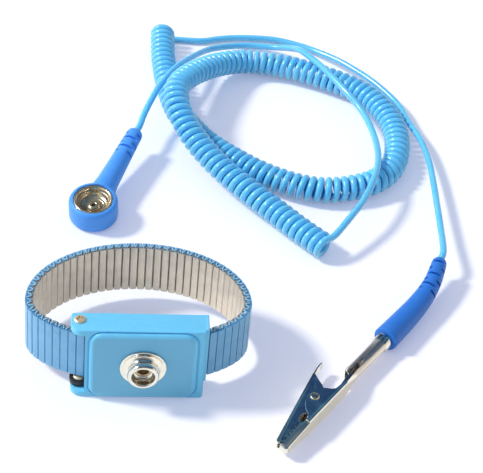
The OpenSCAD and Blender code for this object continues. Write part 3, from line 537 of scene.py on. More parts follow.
BY_SLOT: dict[Slot, Finish] = {
    # the housing's front panel takes a darker, greyer blue: painted shade
    Slot.HOUSING: Moulded("housing_abs", (0.180, 0.66, 0.98), (0.150, 0.59, 0.94), 0.38, skin_scale=3000.0,
                          subsurface=0.05, panel_shade=PanelShade(0.0014, 0.0143, 0.0153, 0.0123, -0.0211,
                                                       (0.16, 0.50, 0.76), 0.8)),
    Slot.PLUG: Moulded("plug_pvc", (0.078, 0.365, 0.98), (0.058, 0.31, 0.93), 0.50, skin_scale=2200.0,
                       subsurface=0.25, sheen=0.06, dust=0.06),
    Slot.CORD: Moulded("cord_pvc", (0.165, 0.635, 1.0), (0.11, 0.54, 0.99), 0.24, drift_scale=90.0,
                       skin_scale=1500.0, bump=0.00001, coat=0.45, subsurface=0.40, dust=0.02, rub=0.06),
    Slot.PAINT: Painted("band_paint_satin", (0.19, 0.49, 0.80), (0.12, 0.37, 0.66), 0.34, 0.25),
    Slot.STEEL: Metal("band_steel_drawn", (0.86, 0.79, 0.71), (0.56, 0.51, 0.49), 0.36, stretch=(1.0, 1.0, 0.05),
                      metallic=0.75, line_scale=2600.0, tarnish_scale=320.0, tarnish_amount=0.4, line_tone=0.25),
    Slot.NICKEL: Metal("nickel_plate", (0.88, 0.84, 0.76), (0.52, 0.62, 0.70), 0.12, line_scale=700.0, wave=0.00016,
                       drawn=Drawn(0.0422, -0.0437, 51.2, 0.0385, 0.0565, (0.70, 0.64, 0.60), 0.26)),
    Slot.WARM: Metal("warm_steel_polished", (0.86, 0.80, 0.66), (0.52, 0.44, 0.30), 0.18, tarnish_amount=0.45),
    Slot.BLACK: Moulded("lever_nylon", (0.012, 0.012, 0.016), (0.022, 0.022, 0.026), 0.42, dust=0.12,
                        dust_colour=(0.3, 0.31, 0.33)),
    Slot.RESISTOR: Moulded("resistor_lacquer", (0.56, 0.40, 0.22), (0.48, 0.33, 0.17), 0.30, coat=0.4),
}
CUP_BRASS = Metal("cup_brass_plate", (0.90, 0.75, 0.52), (0.38, 0.28, 0.17), 0.20, tarnish_amount=0.7, metallic=0.84,
                  tarnish_scale=420.0, wave=0.00025, wave_scale=260.0)
SCREW_ZINC = Painted("screw_zinc_yellow", (0.86, 0.72, 0.50), (0.50, 0.38, 0.24), 0.36, 0.5, (0.92, 0.86, 0.70))
# A lighter copy of the band's paint for the staples: painted light on the band's edges, with rubbed wear streaks.
STAPLE_PAINT_PAINTED_LIGHT = Painted("staple_paint_rubbed_and_painted_light", (0.34, 0.64, 0.84), (0.20, 0.46, 0.70), 0.40, 0.1, (0.62, 0.80, 0.88))
# The boot is a darker copy of the plug's blue: painted shade.
BOOT_PVC_PAINTED_SHADE = Moulded("boot_pvc_painted_shade", (0.020, 0.192, 0.675), (0.015, 0.163, 0.63), 0.50, skin_scale=2200.0,
                   subsurface=0.2, sheen=0.03, dust=0.03)


class Finishes:
    """The materials of the strap and its cord, each built once."""

    def __init__(self) -> None:
        """Builds the shared node groups and starts with no material."""
        self.effects = Effects()
        self.made: dict[Finish, bpy.types.Material] = {}

    def of(self, finish: Finish) -> bpy.types.Material:
        """Gives a finish's material, and builds it at its first use.

        Args:
            finish: the finish.

        Returns:
            Its material.
        """
        if finish not in self.made:
            self.made[finish] = finish.material(self.effects)
        return self.made[finish]

    def dress_frame(self) -> None:
        """Gives every CAD node the material of its slot."""
        for part in frame["record"]["subparts"]:
            thing = frame["nodes"][part["node"]]
            made = self.of(BY_SLOT[Slot(part["material_slot"])])
            for held in thing.material_slots:
                held.material = made
            if not thing.material_slots:
                thing.data.materials.append(made)


# ---------------------------------------------------------------- camera, floor and light


def into_scene(name: str, data: Any) -> bpy.types.Object:
    """Makes an object and links it to the scene.

    Args:
        name: the object's name.
        data: its mesh, curve, camera or lamp.

    Returns:
        The object.
    """
    made = bpy.data.objects.new(name, data)
    bpy.context.scene.collection.objects.link(made)
    return made


@dataclass
class Studio:
    """The camera, a plain pale floor and soft light."""

    target: tuple[float, float, float] = (36.34, 55.87, 0.0)
    distance: float = 611.48
    azimuth: float = -6.632
    elevation: float = 41.559
    roll: float = 5.661
    focal_px: float = 1782.1
    frame_px: float = 483.0
    sensor: float = 36.0
    clip: Pair = (0.01, 20.0)
    floor_size: float = 6000.0
    floor_drop: float = 0.02
    floor_colour: Colour = (0.86, 0.82, 0.76)
    floor_seen: Colour = (0.45, 0.49, 0.79)
    floor_mirrored: Colour = (0.68, 0.63, 0.54)
    floor_lift: float = 0.42
    key_energy: float = 2.5
    key_spread: float = 9.0
    key_colour: Colour = (1.0, 0.985, 0.95)
    key_from: tuple[float, float, float] = (-1.0, 0.18, 0.93)
    room_colour: Colour = (0.76, 0.85, 1.0)
    room_left: float = 0.76
    room_right: float = 0.44
    pane_colour: Colour = (0.95, 1.05, 1.15)
    fill_colour: Colour = (1.0, 0.92, 0.78)
    mirrored: tuple[tuple[float, Colour], ...] = (
        (0.0, (0.90, 0.87, 0.81)), (0.12, (0.46, 0.43, 0.39)), (0.32, (0.25, 0.24, 0.24)),
        (0.47, (0.13, 0.14, 0.17)), (0.57, (0.012, 0.025, 0.055)), (0.735, (0.014, 0.055, 0.18)),
        (0.81, (0.09, 0.25, 0.36)), (0.88, (0.03, 0.07, 0.13)), (1.0, (0.18, 0.23, 0.28)))

    def camera(self) -> None:
        """Places the camera."""
        az, el, roll = (math.radians(a) for a in (self.azimuth, self.elevation, self.roll))
        back = Vector((math.sin(az) * math.cos(el), -math.cos(az) * math.cos(el), math.sin(el)))
        right = Vector((math.cos(az), math.sin(az), 0.0))
        up = back.cross(right)
        side = math.cos(roll) * right + math.sin(roll) * up
        rise = -math.sin(roll) * right + math.cos(roll) * up
        data = bpy.data.cameras.new("camera")
        data.sensor_fit, data.sensor_width = "HORIZONTAL", self.sensor
        data.lens = self.focal_px / self.frame_px * self.sensor
        data.clip_start, data.clip_end = self.clip
        place = Matrix((side, rise, back)).transposed().to_4x4()
        place.translation = (Vector(self.target) + self.distance * back) * MM
        made = into_scene("camera", data)
        made.matrix_world = place
        bpy.context.scene.camera = made

    def floor(self) -> None:
        """Lays the floor, white to the camera except where a shadow falls."""
        slab = Shape()
        bmesh.ops.create_grid(slab.bm, x_segments=1, y_segments=1, size=self.floor_size * MM / 2)
        bmesh.ops.translate(slab.bm, verts=slab.bm.verts, vec=(0.0, 0.0, -self.floor_drop * MM))
        made = into_scene("floor", slab.mesh("floor"))
        material = bpy.data.materials.new("floor_white")
        material.use_nodes = True
        w = Wiring(material.node_tree)
        matt = w.add("ShaderNodeBsdfDiffuse", {"Color": rgba(self.floor_colour)})
        rays = w.add("ShaderNodeLightPath").outputs
        seen = w.math("MAXIMUM", rays["Is Camera Ray"], rays["Is Glossy Ray"])
        lift = w.add("ShaderNodeEmission", {
            "Color": w.blend(rays["Is Glossy Ray"], rgba(self.floor_seen), rgba(self.floor_mirrored)),
            "Strength": w.times(seen, self.floor_lift)})
        both = w.add("ShaderNodeAddShader", {0: matt.outputs[0], 1: lift.outputs[0]})
        w.add("ShaderNodeOutputMaterial", {"Surface": both.outputs[0]})
        made.data.materials.append(material)

    def light(self) -> None:
        """Sets up the key lamp and the room: plain light, white to the camera, with panes in what metal mirrors."""
        key = bpy.data.lights.new("key", "SUN")
        key.energy, key.angle, key.color = self.key_energy, math.radians(self.key_spread), self.key_colour
        lamp, towards = into_scene("key", key), Vector(self.key_from)
        lamp.rotation_mode = "QUATERNION"
        lamp.rotation_quaternion = towards.to_track_quat("Z", "Y")
        lamp.location = towards.normalized()
        world = bpy.data.worlds.new("room")
        bpy.context.scene.world = world
        world.use_nodes = True
        w = Wiring(world.node_tree)
        rays = w.add("ShaderNodeLightPath").outputs
        way = w.split(w.add("ShaderNodeTexCoord").outputs["Generated"])
        ramp = w.add("ShaderNodeValToRGB", {"Fac": way["Z"]})
        while len(ramp.color_ramp.elements) < len(self.mirrored):
            ramp.color_ramp.elements.new(0.5)
        for stop, (place, colour) in zip(ramp.color_ramp.elements, self.mirrored):
            stop.position, stop.color = place, rgba(colour)
        pane = w.times(w.spread(way["X"], -0.50, -0.72), w.spread(way["Z"], -0.02, 0.11))
        fill = w.times(w.spread(way["X"], 0.55, 0.75),
                       w.times(w.spread(way["Z"], 0.06, 0.16), w.spread(way["Z"], 0.46, 0.34)))
        lit = w.blend(fill, w.blend(pane, ramp.outputs["Color"], rgba(self.pane_colour)), rgba(self.fill_colour))
        aside = w.add("ShaderNodeMapRange", {"Value": way["X"], "From Min": -1.0, "To Min": self.room_left,
                                             "To Max": self.room_right}).outputs["Result"]
        plain = w.add("ShaderNodeBackground", {"Color": rgba(self.room_colour), "Strength": aside})
        white = w.add("ShaderNodeBackground", {"Color": rgba((1.0, 1.0, 1.0)), "Strength": 1.0})
        room = w.add("ShaderNodeBackground", {"Color": lit, "Strength": 1.0})
        seen = w.add("ShaderNodeMixShader", {0: rays["Is Camera Ray"], 1: plain.outputs[0], 2: white.outputs[0]})
        shone = w.add("ShaderNodeMixShader", {0: rays["Is Glossy Ray"], 1: seen.outputs[0], 2: room.outputs[0]})
        w.add("ShaderNodeOutputWorld", {"Surface": shone.outputs[0]})
        bpy.context.scene.view_settings.view_transform = "Standard"


# ---------------------------------------------------------------- shapes


class Boolean(Enum):
    """How one shape acts on another."""

    JOIN = "UNION"
    CUT = "DIFFERENCE"


def move(x: float = 0.0, y: float = 0.0, z: float = 0.0) -> Matrix:
    """Returns a shift in millimetres."""
    return Matrix.Translation((x, y, z))


def turn(degrees: float, axis: str = "Z") -> Matrix:
    """Returns a turn about an axis through the origin."""
    return Matrix.Rotation(math.radians(degrees), 4, axis)


def lay(along: Vector, at: Vector, size: float = 1.0) -> Matrix:
    """Gives the placement of a ring on a line.

    Args:
        along: the line's direction there, which is not upright.
        at: the point.
        size: the ring's radius.

    Returns:
        A placement whose Z runs along the line and whose X is level.
    """
    ahead = along.normalized()
    side = ahead.cross(UP).normalized()
    made = Matrix((side, ahead.cross(side), ahead)).transposed().to_4x4() @ Matrix.Scale(size, 4)
    made.translation = at
    return made


def level(test: Callable[[Vector], bool]) -> Callable[[bmesh.types.BMEdge], bool]:
    """Returns a test for level edges whose two ends both pass another test."""
    return lambda e: abs(e.verts[0].co.z - e.verts[1].co.z) < 0.01 and all(test(v.co) for v in e.verts)


def rectangle(width: float, height: float) -> list[Pair]:
    """Returns the corners of a rectangle about the origin."""
    return [(x * width / 2, y * height / 2) for x, y in ((-1, -1), (1, -1), (1, 1), (-1, 1))]


def circle(x: float, y: float, radius: float, steps: int = 32) -> list[tuple[float, float, float]]:
    """Returns points on a circle that faces along X, round a middle at x and y."""
    turns = (math.tau * k / steps for k in range(steps))
    return [(x, y + radius * math.cos(a), radius * math.sin(a)) for a in turns]


def smooth_line(points: Sequence[Vector], parts: int) -> list[Vector]:
    """Runs a smooth curve through points.

    Args:
        points: the points.
        parts: how many parts each stretch is cut into.

    Returns:
        The curve's points.
    """
    line = []
    last = len(points) - 1
    for i in range(last):
        a, b, c, d = points[max(i - 1, 0)], points[i], points[i + 1], points[min(i + 2, last)]
        for k in range(parts):
            t = k / parts
            line.append(0.5 * (2 * b + (c - a) * t + (2 * a - 5 * b + 4 * c - d) * t * t
                               + (3 * b - a - 3 * c + d) * t ** 3))
    line.append(points[-1])
    return line


class Path:
    """A line of points that is read by the distance along it."""

    def __init__(self, points: Sequence[Vector]) -> None:
        """Measures the line.

        Args:
            points: its points.
        """
        self.points = points
        self.reach = [0.0, *accumulate((b - a).length for a, b in zip(points, points[1:]))]
        self.length = self.reach[-1]

    def at(self, s: float) -> Vector:
        """Finds a point of the line.

        Args:
            s: the distance along the line.

        Returns:
            The point, or an end of the line where the distance is beyond it.
        """
        s = min(max(s, 0.0), self.length)
        i = max(bisect_left(self.reach, s), 1)
        start, end = self.reach[i - 1], self.reach[i]
        return self.points[i - 1].lerp(self.points[i], (s - start) / (end - start))


class Shape:
    """A mesh in the making, in millimetres."""

    def __init__(self) -> None:
        """Starts an empty shape."""
        self.bm = bmesh.new()

    @classmethod
    def block(cls, low: Sequence[float], high: Sequence[float]) -> "Shape":
        """Makes a box.

        Args:
            low: its lowest corner.
            high: its highest corner.

        Returns:
            The box.
        """
        made = cls()
        low, high = Vector(low), Vector(high)
        bmesh.ops.create_cube(made.bm, size=1.0)
        bmesh.ops.scale(made.bm, vec=high - low, verts=made.bm.verts)
        bmesh.ops.translate(made.bm, vec=(low + high) / 2, verts=made.bm.verts)
        return made

    @classmethod
    def rod(cls, radius: float, length: float, sides: int = 32) -> "Shape":
        """Makes a cylinder that stands on its z = 0.

        Args:
            radius: its radius.
            length: its length along Z.
            sides: how many sides it has.

        Returns:
            The cylinder.
        """
        made = cls()
        bmesh.ops.create_cone(made.bm, cap_ends=True, segments=sides, radius1=radius, radius2=radius, depth=length)
        bmesh.ops.translate(made.bm, vec=(0.0, 0.0, length / 2), verts=made.bm.verts)
        return made

    @classmethod
    def plate(cls, outline: Sequence[Pair], thickness: float, rounds: dict[int, float] | float = 0.0,
              segments: int = 5) -> "Shape":
        """Raises a flat outline along Z from z = 0.

        Args:
            outline: its corners in X and Y.
            thickness: how far it is raised.
            rounds: the radius of every corner, or of some by their number.
            segments: how many facets each round has.

        Returns:
            The plate.
        """
        made = cls()
        corners = [made.bm.verts.new((x, y, 0.0)) for x, y in outline]
        made.bm.faces.new(corners)
        if not isinstance(rounds, dict):
            rounds = dict.fromkeys(range(len(corners)), rounds)
        for number, radius in rounds.items():
            if radius > 0:
                made._round([corners[number]], radius, segments)
        grown = bmesh.ops.extrude_face_region(made.bm, geom=list(made.bm.faces))["geom"]
        verts = [g for g in grown if isinstance(g, bmesh.types.BMVert)]
        bmesh.ops.translate(made.bm, vec=(0.0, 0.0, thickness), verts=verts)
        bmesh.ops.recalc_face_normals(made.bm, faces=made.bm.faces)
        return made

    @classmethod
    def lathe(cls, profile: Sequence[Pair], steps: int, rounds: float = 0.0) -> "Shape":
        """Spins a closed profile about Z.

        Args:
            profile: its corners as radius and height.
            steps: how many facets go round.
            rounds: the radius that its corners are rounded to.

        Returns:
            The turned shape.
        """
        made = cls()
        axis = 1e-6
        corners = [made.bm.verts.new((r, 0.0, z)) for r, z in profile]
        made.bm.faces.new(corners)
        if rounds > 0:
            made._round([v for v in corners if v.co.x > axis], rounds, 2)
        bmesh.ops.delete(made.bm, geom=list(made.bm.faces), context="FACES_ONLY")
        bmesh.ops.delete(made.bm, geom=[e for e in made.bm.edges if max(v.co.x for v in e.verts) < axis],
                         context="EDGES")
        bmesh.ops.spin(made.bm, geom=[*made.bm.verts, *made.bm.edges], cent=(0, 0, 0), axis=(0, 0, 1),
                       angle=math.tau, steps=steps, use_merge=True, use_duplicate=False)
        bmesh.ops.remove_doubles(made.bm, verts=made.bm.verts, dist=1e-5)
        bmesh.ops.recalc_face_normals(made.bm, faces=made.bm.faces)
        return made

    @classmethod
    def sweep(cls, rings: Sequence[Matrix], sides: int) -> "Shape":
        """Carries a circle of radius 1 through a row of placements and closes both ends.

        Args:
            rings: the placements, each with its size; the circle lies in their X and Y.
            sides: how many sides the circle has.

        Returns:
            The swept shape.
        """
        made = cls()
        bmesh.ops.create_circle(made.bm, cap_ends=True, radius=1.0, segments=sides)
        bmesh.ops.transform(made.bm, matrix=rings[0], verts=made.bm.verts)
        edges = list(made.bm.edges)
        for before, after in zip(rings, rings[1:]):
            grown = bmesh.ops.extrude_edge_only(made.bm, edges=edges)["geom"]
            verts = [g for g in grown if isinstance(g, bmesh.types.BMVert)]
            moved = set(verts)
            edges = [g for g in grown if isinstance(g, bmesh.types.BMEdge) and moved.issuperset(g.verts)]
            bmesh.ops.transform(made.bm, matrix=after @ before.inverted(), verts=verts)
        bmesh.ops.contextual_create(made.bm, geom=edges)
        bmesh.ops.recalc_face_normals(made.bm, faces=made.bm.faces)
        return made

    @classmethod
    def wrapped(cls, *points: Sequence[float]) -> "Shape":
        """Makes the tightest closed shape round some points.

        Args:
            points: the points.

        Returns:
            The shape.
        """
        made = cls()
        for point in points:
            made.bm.verts.new(point)
        loose = bmesh.ops.convex_hull(made.bm, input=made.bm.verts)["geom_interior"]
        bmesh.ops.delete(made.bm, geom=[g for g in loose if isinstance(g, bmesh.types.BMVert)], context="VERTS")
        bmesh.ops.dissolve_limit(made.bm, angle_limit=0.01, verts=made.bm.verts, edges=made.bm.edges)
        return made

    def _round(self, verts: Iterable[bmesh.types.BMVert], radius: float, segments: int) -> None:
        """Rounds corners of a flat outline to a radius, with that many facets."""
        bmesh.ops.bevel(self.bm, geom=list(verts), offset=radius, offset_type="OFFSET", affect="VERTICES",
                        segments=segments, profile=0.5, material=-1, clamp_overlap=True)

    def place(self, *steps: Matrix) -> "Shape":
        """Moves the shape.

        Args:
            steps: placements, the last one done first.

        Returns:
            The shape itself.
        """
        whole = Matrix.Identity(4)
        for step in steps:
            whole = whole @ step
        bmesh.ops.transform(self.bm, matrix=whole, verts=self.bm.verts)
        if whole.determinant() < 0:
            bmesh.ops.reverse_faces(self.bm, faces=self.bm.faces)
        return self

    def soften(self, width: float, segments: int = 2, angle: float = SQUARE,
               where: Callable[[bmesh.types.BMEdge], bool] = lambda edge: True) -> "Shape":
        """Rounds the edges that turn by more than an angle.

        Args:
            width: how wide the rounds are.
            segments: how many facets they have.
            angle: the least turn, in degrees.
            where: a test that picks some of those edges.

        Returns:
            The shape itself.
        """
        bmesh.ops.dissolve_limit(self.bm, angle_limit=0.002, verts=self.bm.verts, edges=self.bm.edges)
        least = math.radians(angle)
        edges = [e for e in self.bm.edges if len(e.link_faces) == 2 and e.calc_face_angle(0.0) > least and where(e)]
        bmesh.ops.bevel(self.bm, geom=edges, offset=width, offset_type="OFFSET", affect="EDGES",
                        segments=segments, profile=0.5, material=-1, clamp_overlap=True, loop_slide=True)
        return self

    def add(self, *others: "Shape") -> "Shape":
        """Takes other shapes in beside this one, without joining them.

        Args:
            others: the shapes, which are used up.

        Returns:
            The shape itself.
        """
        for other in others:
            mesh = other.mesh("part")
            self.bm.from_mesh(mesh)
            bpy.data.meshes.remove(mesh)
        return self

    def join(self, *others: "Shape") -> "Shape":
        """Unites other shapes with this one."""
        return self._combine(Boolean.JOIN, others)

    def cut(self, *others: "Shape") -> "Shape":
        """Takes other shapes away from this one."""
        return self._combine(Boolean.CUT, others)

    def _combine(self, how: Boolean, others: Sequence["Shape"]) -> "Shape":
        """Runs one Boolean modifier for each other shape.

        Args:
            how: whether they are joined to this one or cut from it.
            others: the shapes, which are used up.

        Returns:
            The shape itself.
        """
        base, tools = self._loose(), [other._loose() for other in others]
        for tool in tools:
            modifier = base.modifiers.new("combine", "BOOLEAN")
            modifier.operation, modifier.solver, modifier.object = how.value, "EXACT", tool
        self._read_back(base)
        for tool in tools:
            self._drop(tool)
        return self

    def remesh(self, voxel: float, passes: int) -> "Shape":
        """Rebuilds the shape from voxels and smooths it, so that joints run into each other.

        Args:
            voxel: the size of a voxel.
            passes: how often it is smoothed.

        Returns:
            The shape itself.
        """
        base = self._loose()
        modifier = base.modifiers.new("voxels", "REMESH")
        modifier.mode, modifier.voxel_size = "VOXEL", voxel
        self._read_back(base)
        for _ in range(passes):
            bmesh.ops.smooth_vert(self.bm, verts=self.bm.verts, factor=0.5, use_axis_x=True, use_axis_y=True,
                                  use_axis_z=True)
        return self

    def mesh(self, name: str) -> bpy.types.Mesh:
        """Turns the shape into a mesh and uses it up.

        Args:
            name: the mesh's name.

        Returns:
            The mesh.
        """
        made = bpy.data.meshes.new(name)
        self.bm.to_mesh(made)
        self.bm.free()
        return made

    def _loose(self) -> bpy.types.Object:
        """Puts the shape in an object of its own for a modifier, with its faces outwards."""
        bmesh.ops.recalc_face_normals(self.bm, faces=self.bm.faces)
        return into_scene("loose", self.mesh("loose"))

    def _read_back(self, loose: bpy.types.Object) -> None:
        """Takes the shape back from an object, with its modifiers done.

        Args:
            loose: the object, which is removed.
        """
        bpy.context.view_layer.update()
        done = loose.evaluated_get(bpy.context.evaluated_depsgraph_get())
        self.bm = bmesh.new()
        self.bm.from_mesh(done.to_mesh())
        done.to_mesh_clear()
        self._drop(loose)

    @staticmethod
    def _drop(loose: bpy.types.Object) -> None:
        """Removes a helper object and its mesh.

        Args:
            loose: the object.
        """
        mesh = loose.data
        bpy.data.objects.remove(loose)
        bpy.data.meshes.remove(mesh)

    def piece(self, name: str, body: Body, slot: Slot, finishes: Finishes, *nodes: str, angle: float = 32.0,
              ride: bool = True, finish: Finish | None = None) -> bpy.types.Object:
        """Turns the shape into a finished piece, in metres.

        Args:
            name: the piece's name.
            body: the body that it rides on.
            slot: the slot that it takes its finish from.
            finishes: the materials.
            nodes: the CAD nodes that it stands for.
            angle: edges sharper than this, in degrees, stay sharp.
            ride: False where the piece is blended between bodies instead.
            finish: a finish of its own, where it isn't the slot's.

        Returns:
            The piece.
        """
        bmesh.ops.recalc_face_normals(self.bm, faces=self.bm.faces)
        bmesh.ops.scale(self.bm, vec=(MM, MM, MM), verts=self.bm.verts)
        mesh = self.mesh(name)
        mesh.materials.append(finishes.of(finish or BY_SLOT[slot]))
        mesh.shade_smooth()
        mesh.set_sharp_from_angle(angle=math.radians(angle))
        made = into_scene(name, mesh)
        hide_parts(*nodes)
        if ride:
            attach(made, body.value)
        log.info("%s: %d faces on %s", name, len(mesh.polygons), body.value)
        return made


# ---------------------------------------------------------------- ground cord

CURL_ROUTE = (
    (64, 46, 4.8), (56, 54.5, 4.8), (48, 63.5, 5.2), (40, 71.5, 6.4), (31.5, 80.5, 8), (24, 90, 10),
    (18.3, 99.5, 12.6), (15, 109, 14.9), (15, 119, 15.2), (19, 128, 13.6), (25.5, 137, 10.8), (33, 145, 7.6),
    (42, 149.5, 5.6), (53, 149.2, 4.8), (64, 145.5, 4.8), (75, 140, 4.8), (84, 134, 4.8), (91, 125, 4.8),
    (95, 113, 4.8), (95, 101, 4.8), (92, 90, 4.8), (85.5, 82, 4.8), (76, 77.5, 4.8), (65, 76, 4.8),
    (55, 78.5, 4.8), (44.5, 84, 4.8), (35, 91.5, 4.8), (26, 100.5, 4.8), (19.5, 110.5, 4.8), (15, 121, 4.8),
    (12.5, 134, 4.8), (11, 150, 4.8), (11, 168, 4.8))
PLUG_LEAD = (
    (3, 109.5, 9.9), (5.5, 116.5, 10.9), (9, 125.5, 11.4), (15, 137, 11), (21, 147, 8.5), (29.5, 158.5, 4.5),
    (42, 165, 1.9), (54, 163, 3), (60.5, 157, 7), (63.8, 151, 9.9), (70.5, 138.5, 11.6), (77.5, 125.5, 11.2),
    (83, 116, 9.4), (86, 104, 8.6), (86, 89, 10.4), (83.5, 76.5, 11.5), (78.5, 64.5, 10.8), (73, 56, 9.8))
CLIP_LEAD = (
    (26, 168, 1.3), (34, 170, 1.3), (42.5, 171, 1.3), (54, 170.5, 1.3), (62, 168, 1.3), (69.5, 163.5, 1.8),
    (79, 154.5, 3.4), (88.5, 143, 4.4), (95.2, 133.5, 4.2), (99, 126, 3.9), (101, 117.5, 4), (104.4, 105, 4.6),
    (105.6, 92, 5.2), (105.4, 79, 6), (104.8, 66, 6.8), (104.2, 53, 7.6))


@dataclass(frozen=True)
class PlugPlace:
    """Where the snap plug lies: upside down on the table, its relief tipped up a little."""

    x: float = -14.3
    y: float = 64.0
    heading: float = 68.3
    tilt: float = 6.0
    foot: float = 7.25
    rise: float = 0.05

    def matrix(self) -> Matrix:
        """Returns the placement of a plug that is modelled along +X and tips on the edge of its foot."""
        lift = self.foot * math.sin(math.radians(self.tilt)) + self.rise
        return move(self.x, self.y, lift) @ turn(self.heading) @ turn(-self.tilt, "Y")


@dataclass(frozen=True)
class ClipPlace:
    """Where the alligator clip lies: along +X from its tips, on its side."""

    x: float = 42.2
    y: float = -43.7
    z: float = 4.2
    heading: float = 51.2

    def matrix(self) -> Matrix:
        """Returns the placement of a clip that is modelled along +X."""
        return move(self.x, self.y, self.z) @ turn(self.heading)


@dataclass
class GroundCord:
    """The cord: a lead from the plug, the curls, and a lead to the clip, as one curve."""

    plug: PlugPlace
    boot_line: Sequence[Vector]
    curl_diameter: float = 9.4
    turns: float = 130.5
    per_turn: int = 16
    grip: float = 5.0
    straight: float = 4.0
    route_parts: int = 12
    lead_parts: int = 7

    def curls(self) -> tuple[list[Vector], Vector, Vector]:
        """Winds the curls round their axis.

        Returns:
            The points of the curls, and the directions at their start and end.
        """
        axis = Path(smooth_line([Vector(p) for p in CURL_ROUTE], self.route_parts))
        radius, turn_step = (self.curl_diameter - CORD) / 2, math.tau / self.per_turn
        steps, reach = round(self.turns * self.per_turn), 1.5
        points, ways = [], []
        for i in range(steps + 1):
            s = axis.length * i / steps
            ahead = (axis.at(s + reach) - axis.at(s - reach)).normalized()
            side = ahead.cross(UP).normalized()
            upper = side.cross(ahead)
            g = math.tau * i / self.per_turn
            points.append(axis.at(s) + radius * (math.cos(g) * upper - math.sin(g) * side))
            if i in (0, steps):
                ways.append((ahead * axis.length / steps
                             - radius * turn_step * (math.sin(g) * upper + math.cos(g) * side)).normalized())
        return points, ways[0], ways[1]

    def leave(self, back: float = 0.0) -> Vector:
        """Returns the point where the cord leaves the plug's relief, or one that far inside it."""
        return self.plug.matrix() @ Vector((RELIEF_LENGTH - back, 0.0, RELIEF_HEIGHT))

    def line(self) -> list[Vector]:
        """Runs the cord's centreline from the plug through the curls to the clip.

        Returns:
            Its points.
        """
        curls, start_way, end_way = self.curls()
        inside, leave = self.leave(self.grip - 0.2), self.leave()
        ahead = (leave - inside).normalized()
        end = self.boot_line[-1]
        way = (end - self.boot_line[-2]).normalized()
        first = [inside, leave, leave + self.straight * ahead, *(Vector(p) for p in PLUG_LEAD),
                 curls[0] - self.straight * start_way, curls[0]]
        last = [curls[-1], curls[-1] + self.straight * end_way, *(Vector(p) for p in CLIP_LEAD),
                end + 4.5 * way, end, end - self.grip * way]
        return smooth_line(first, self.lead_parts)[:-1] + curls + smooth_line(last, self.lead_parts)[1:]

    def build(self, finishes: Finishes) -> tuple[bpy.types.Object, list[Vector]]:
        """Makes the cord's curve.

        Args:
            finishes: the materials.

        Returns:
            The cord and its centreline in millimetres.
        """
        line = self.line()
        data = bpy.data.curves.new("cord", "CURVE")
        data.dimensions = "3D"
        data.bevel_depth, data.bevel_resolution, data.use_fill_caps = CORD / 2 * MM, 4, True
        spline = data.splines.new("POLY")
        spline.points.add(len(line) - 1)
        for point, place in zip(spline.points, line):
            point.co = (*(place * MM), 1.0)
        spline.use_smooth = True
        data.materials.append(finishes.of(BY_SLOT[Slot.CORD]))
        made = into_scene("ground_cord", data)
        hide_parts("plug_lead", "curly_cord", "clip_lead")
        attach(made, Body.ROOT.value)
        return made, line

    def declare(self, pieces: list[Any]) -> None:
        """Works out where the cord leaves the plug, in metres, and keeps nothing.

        Args:
            pieces: the pieces on its ends; not used.
        """
        tuple(self.leave() * MM)


# ---------------------------------------------------------------- clasp


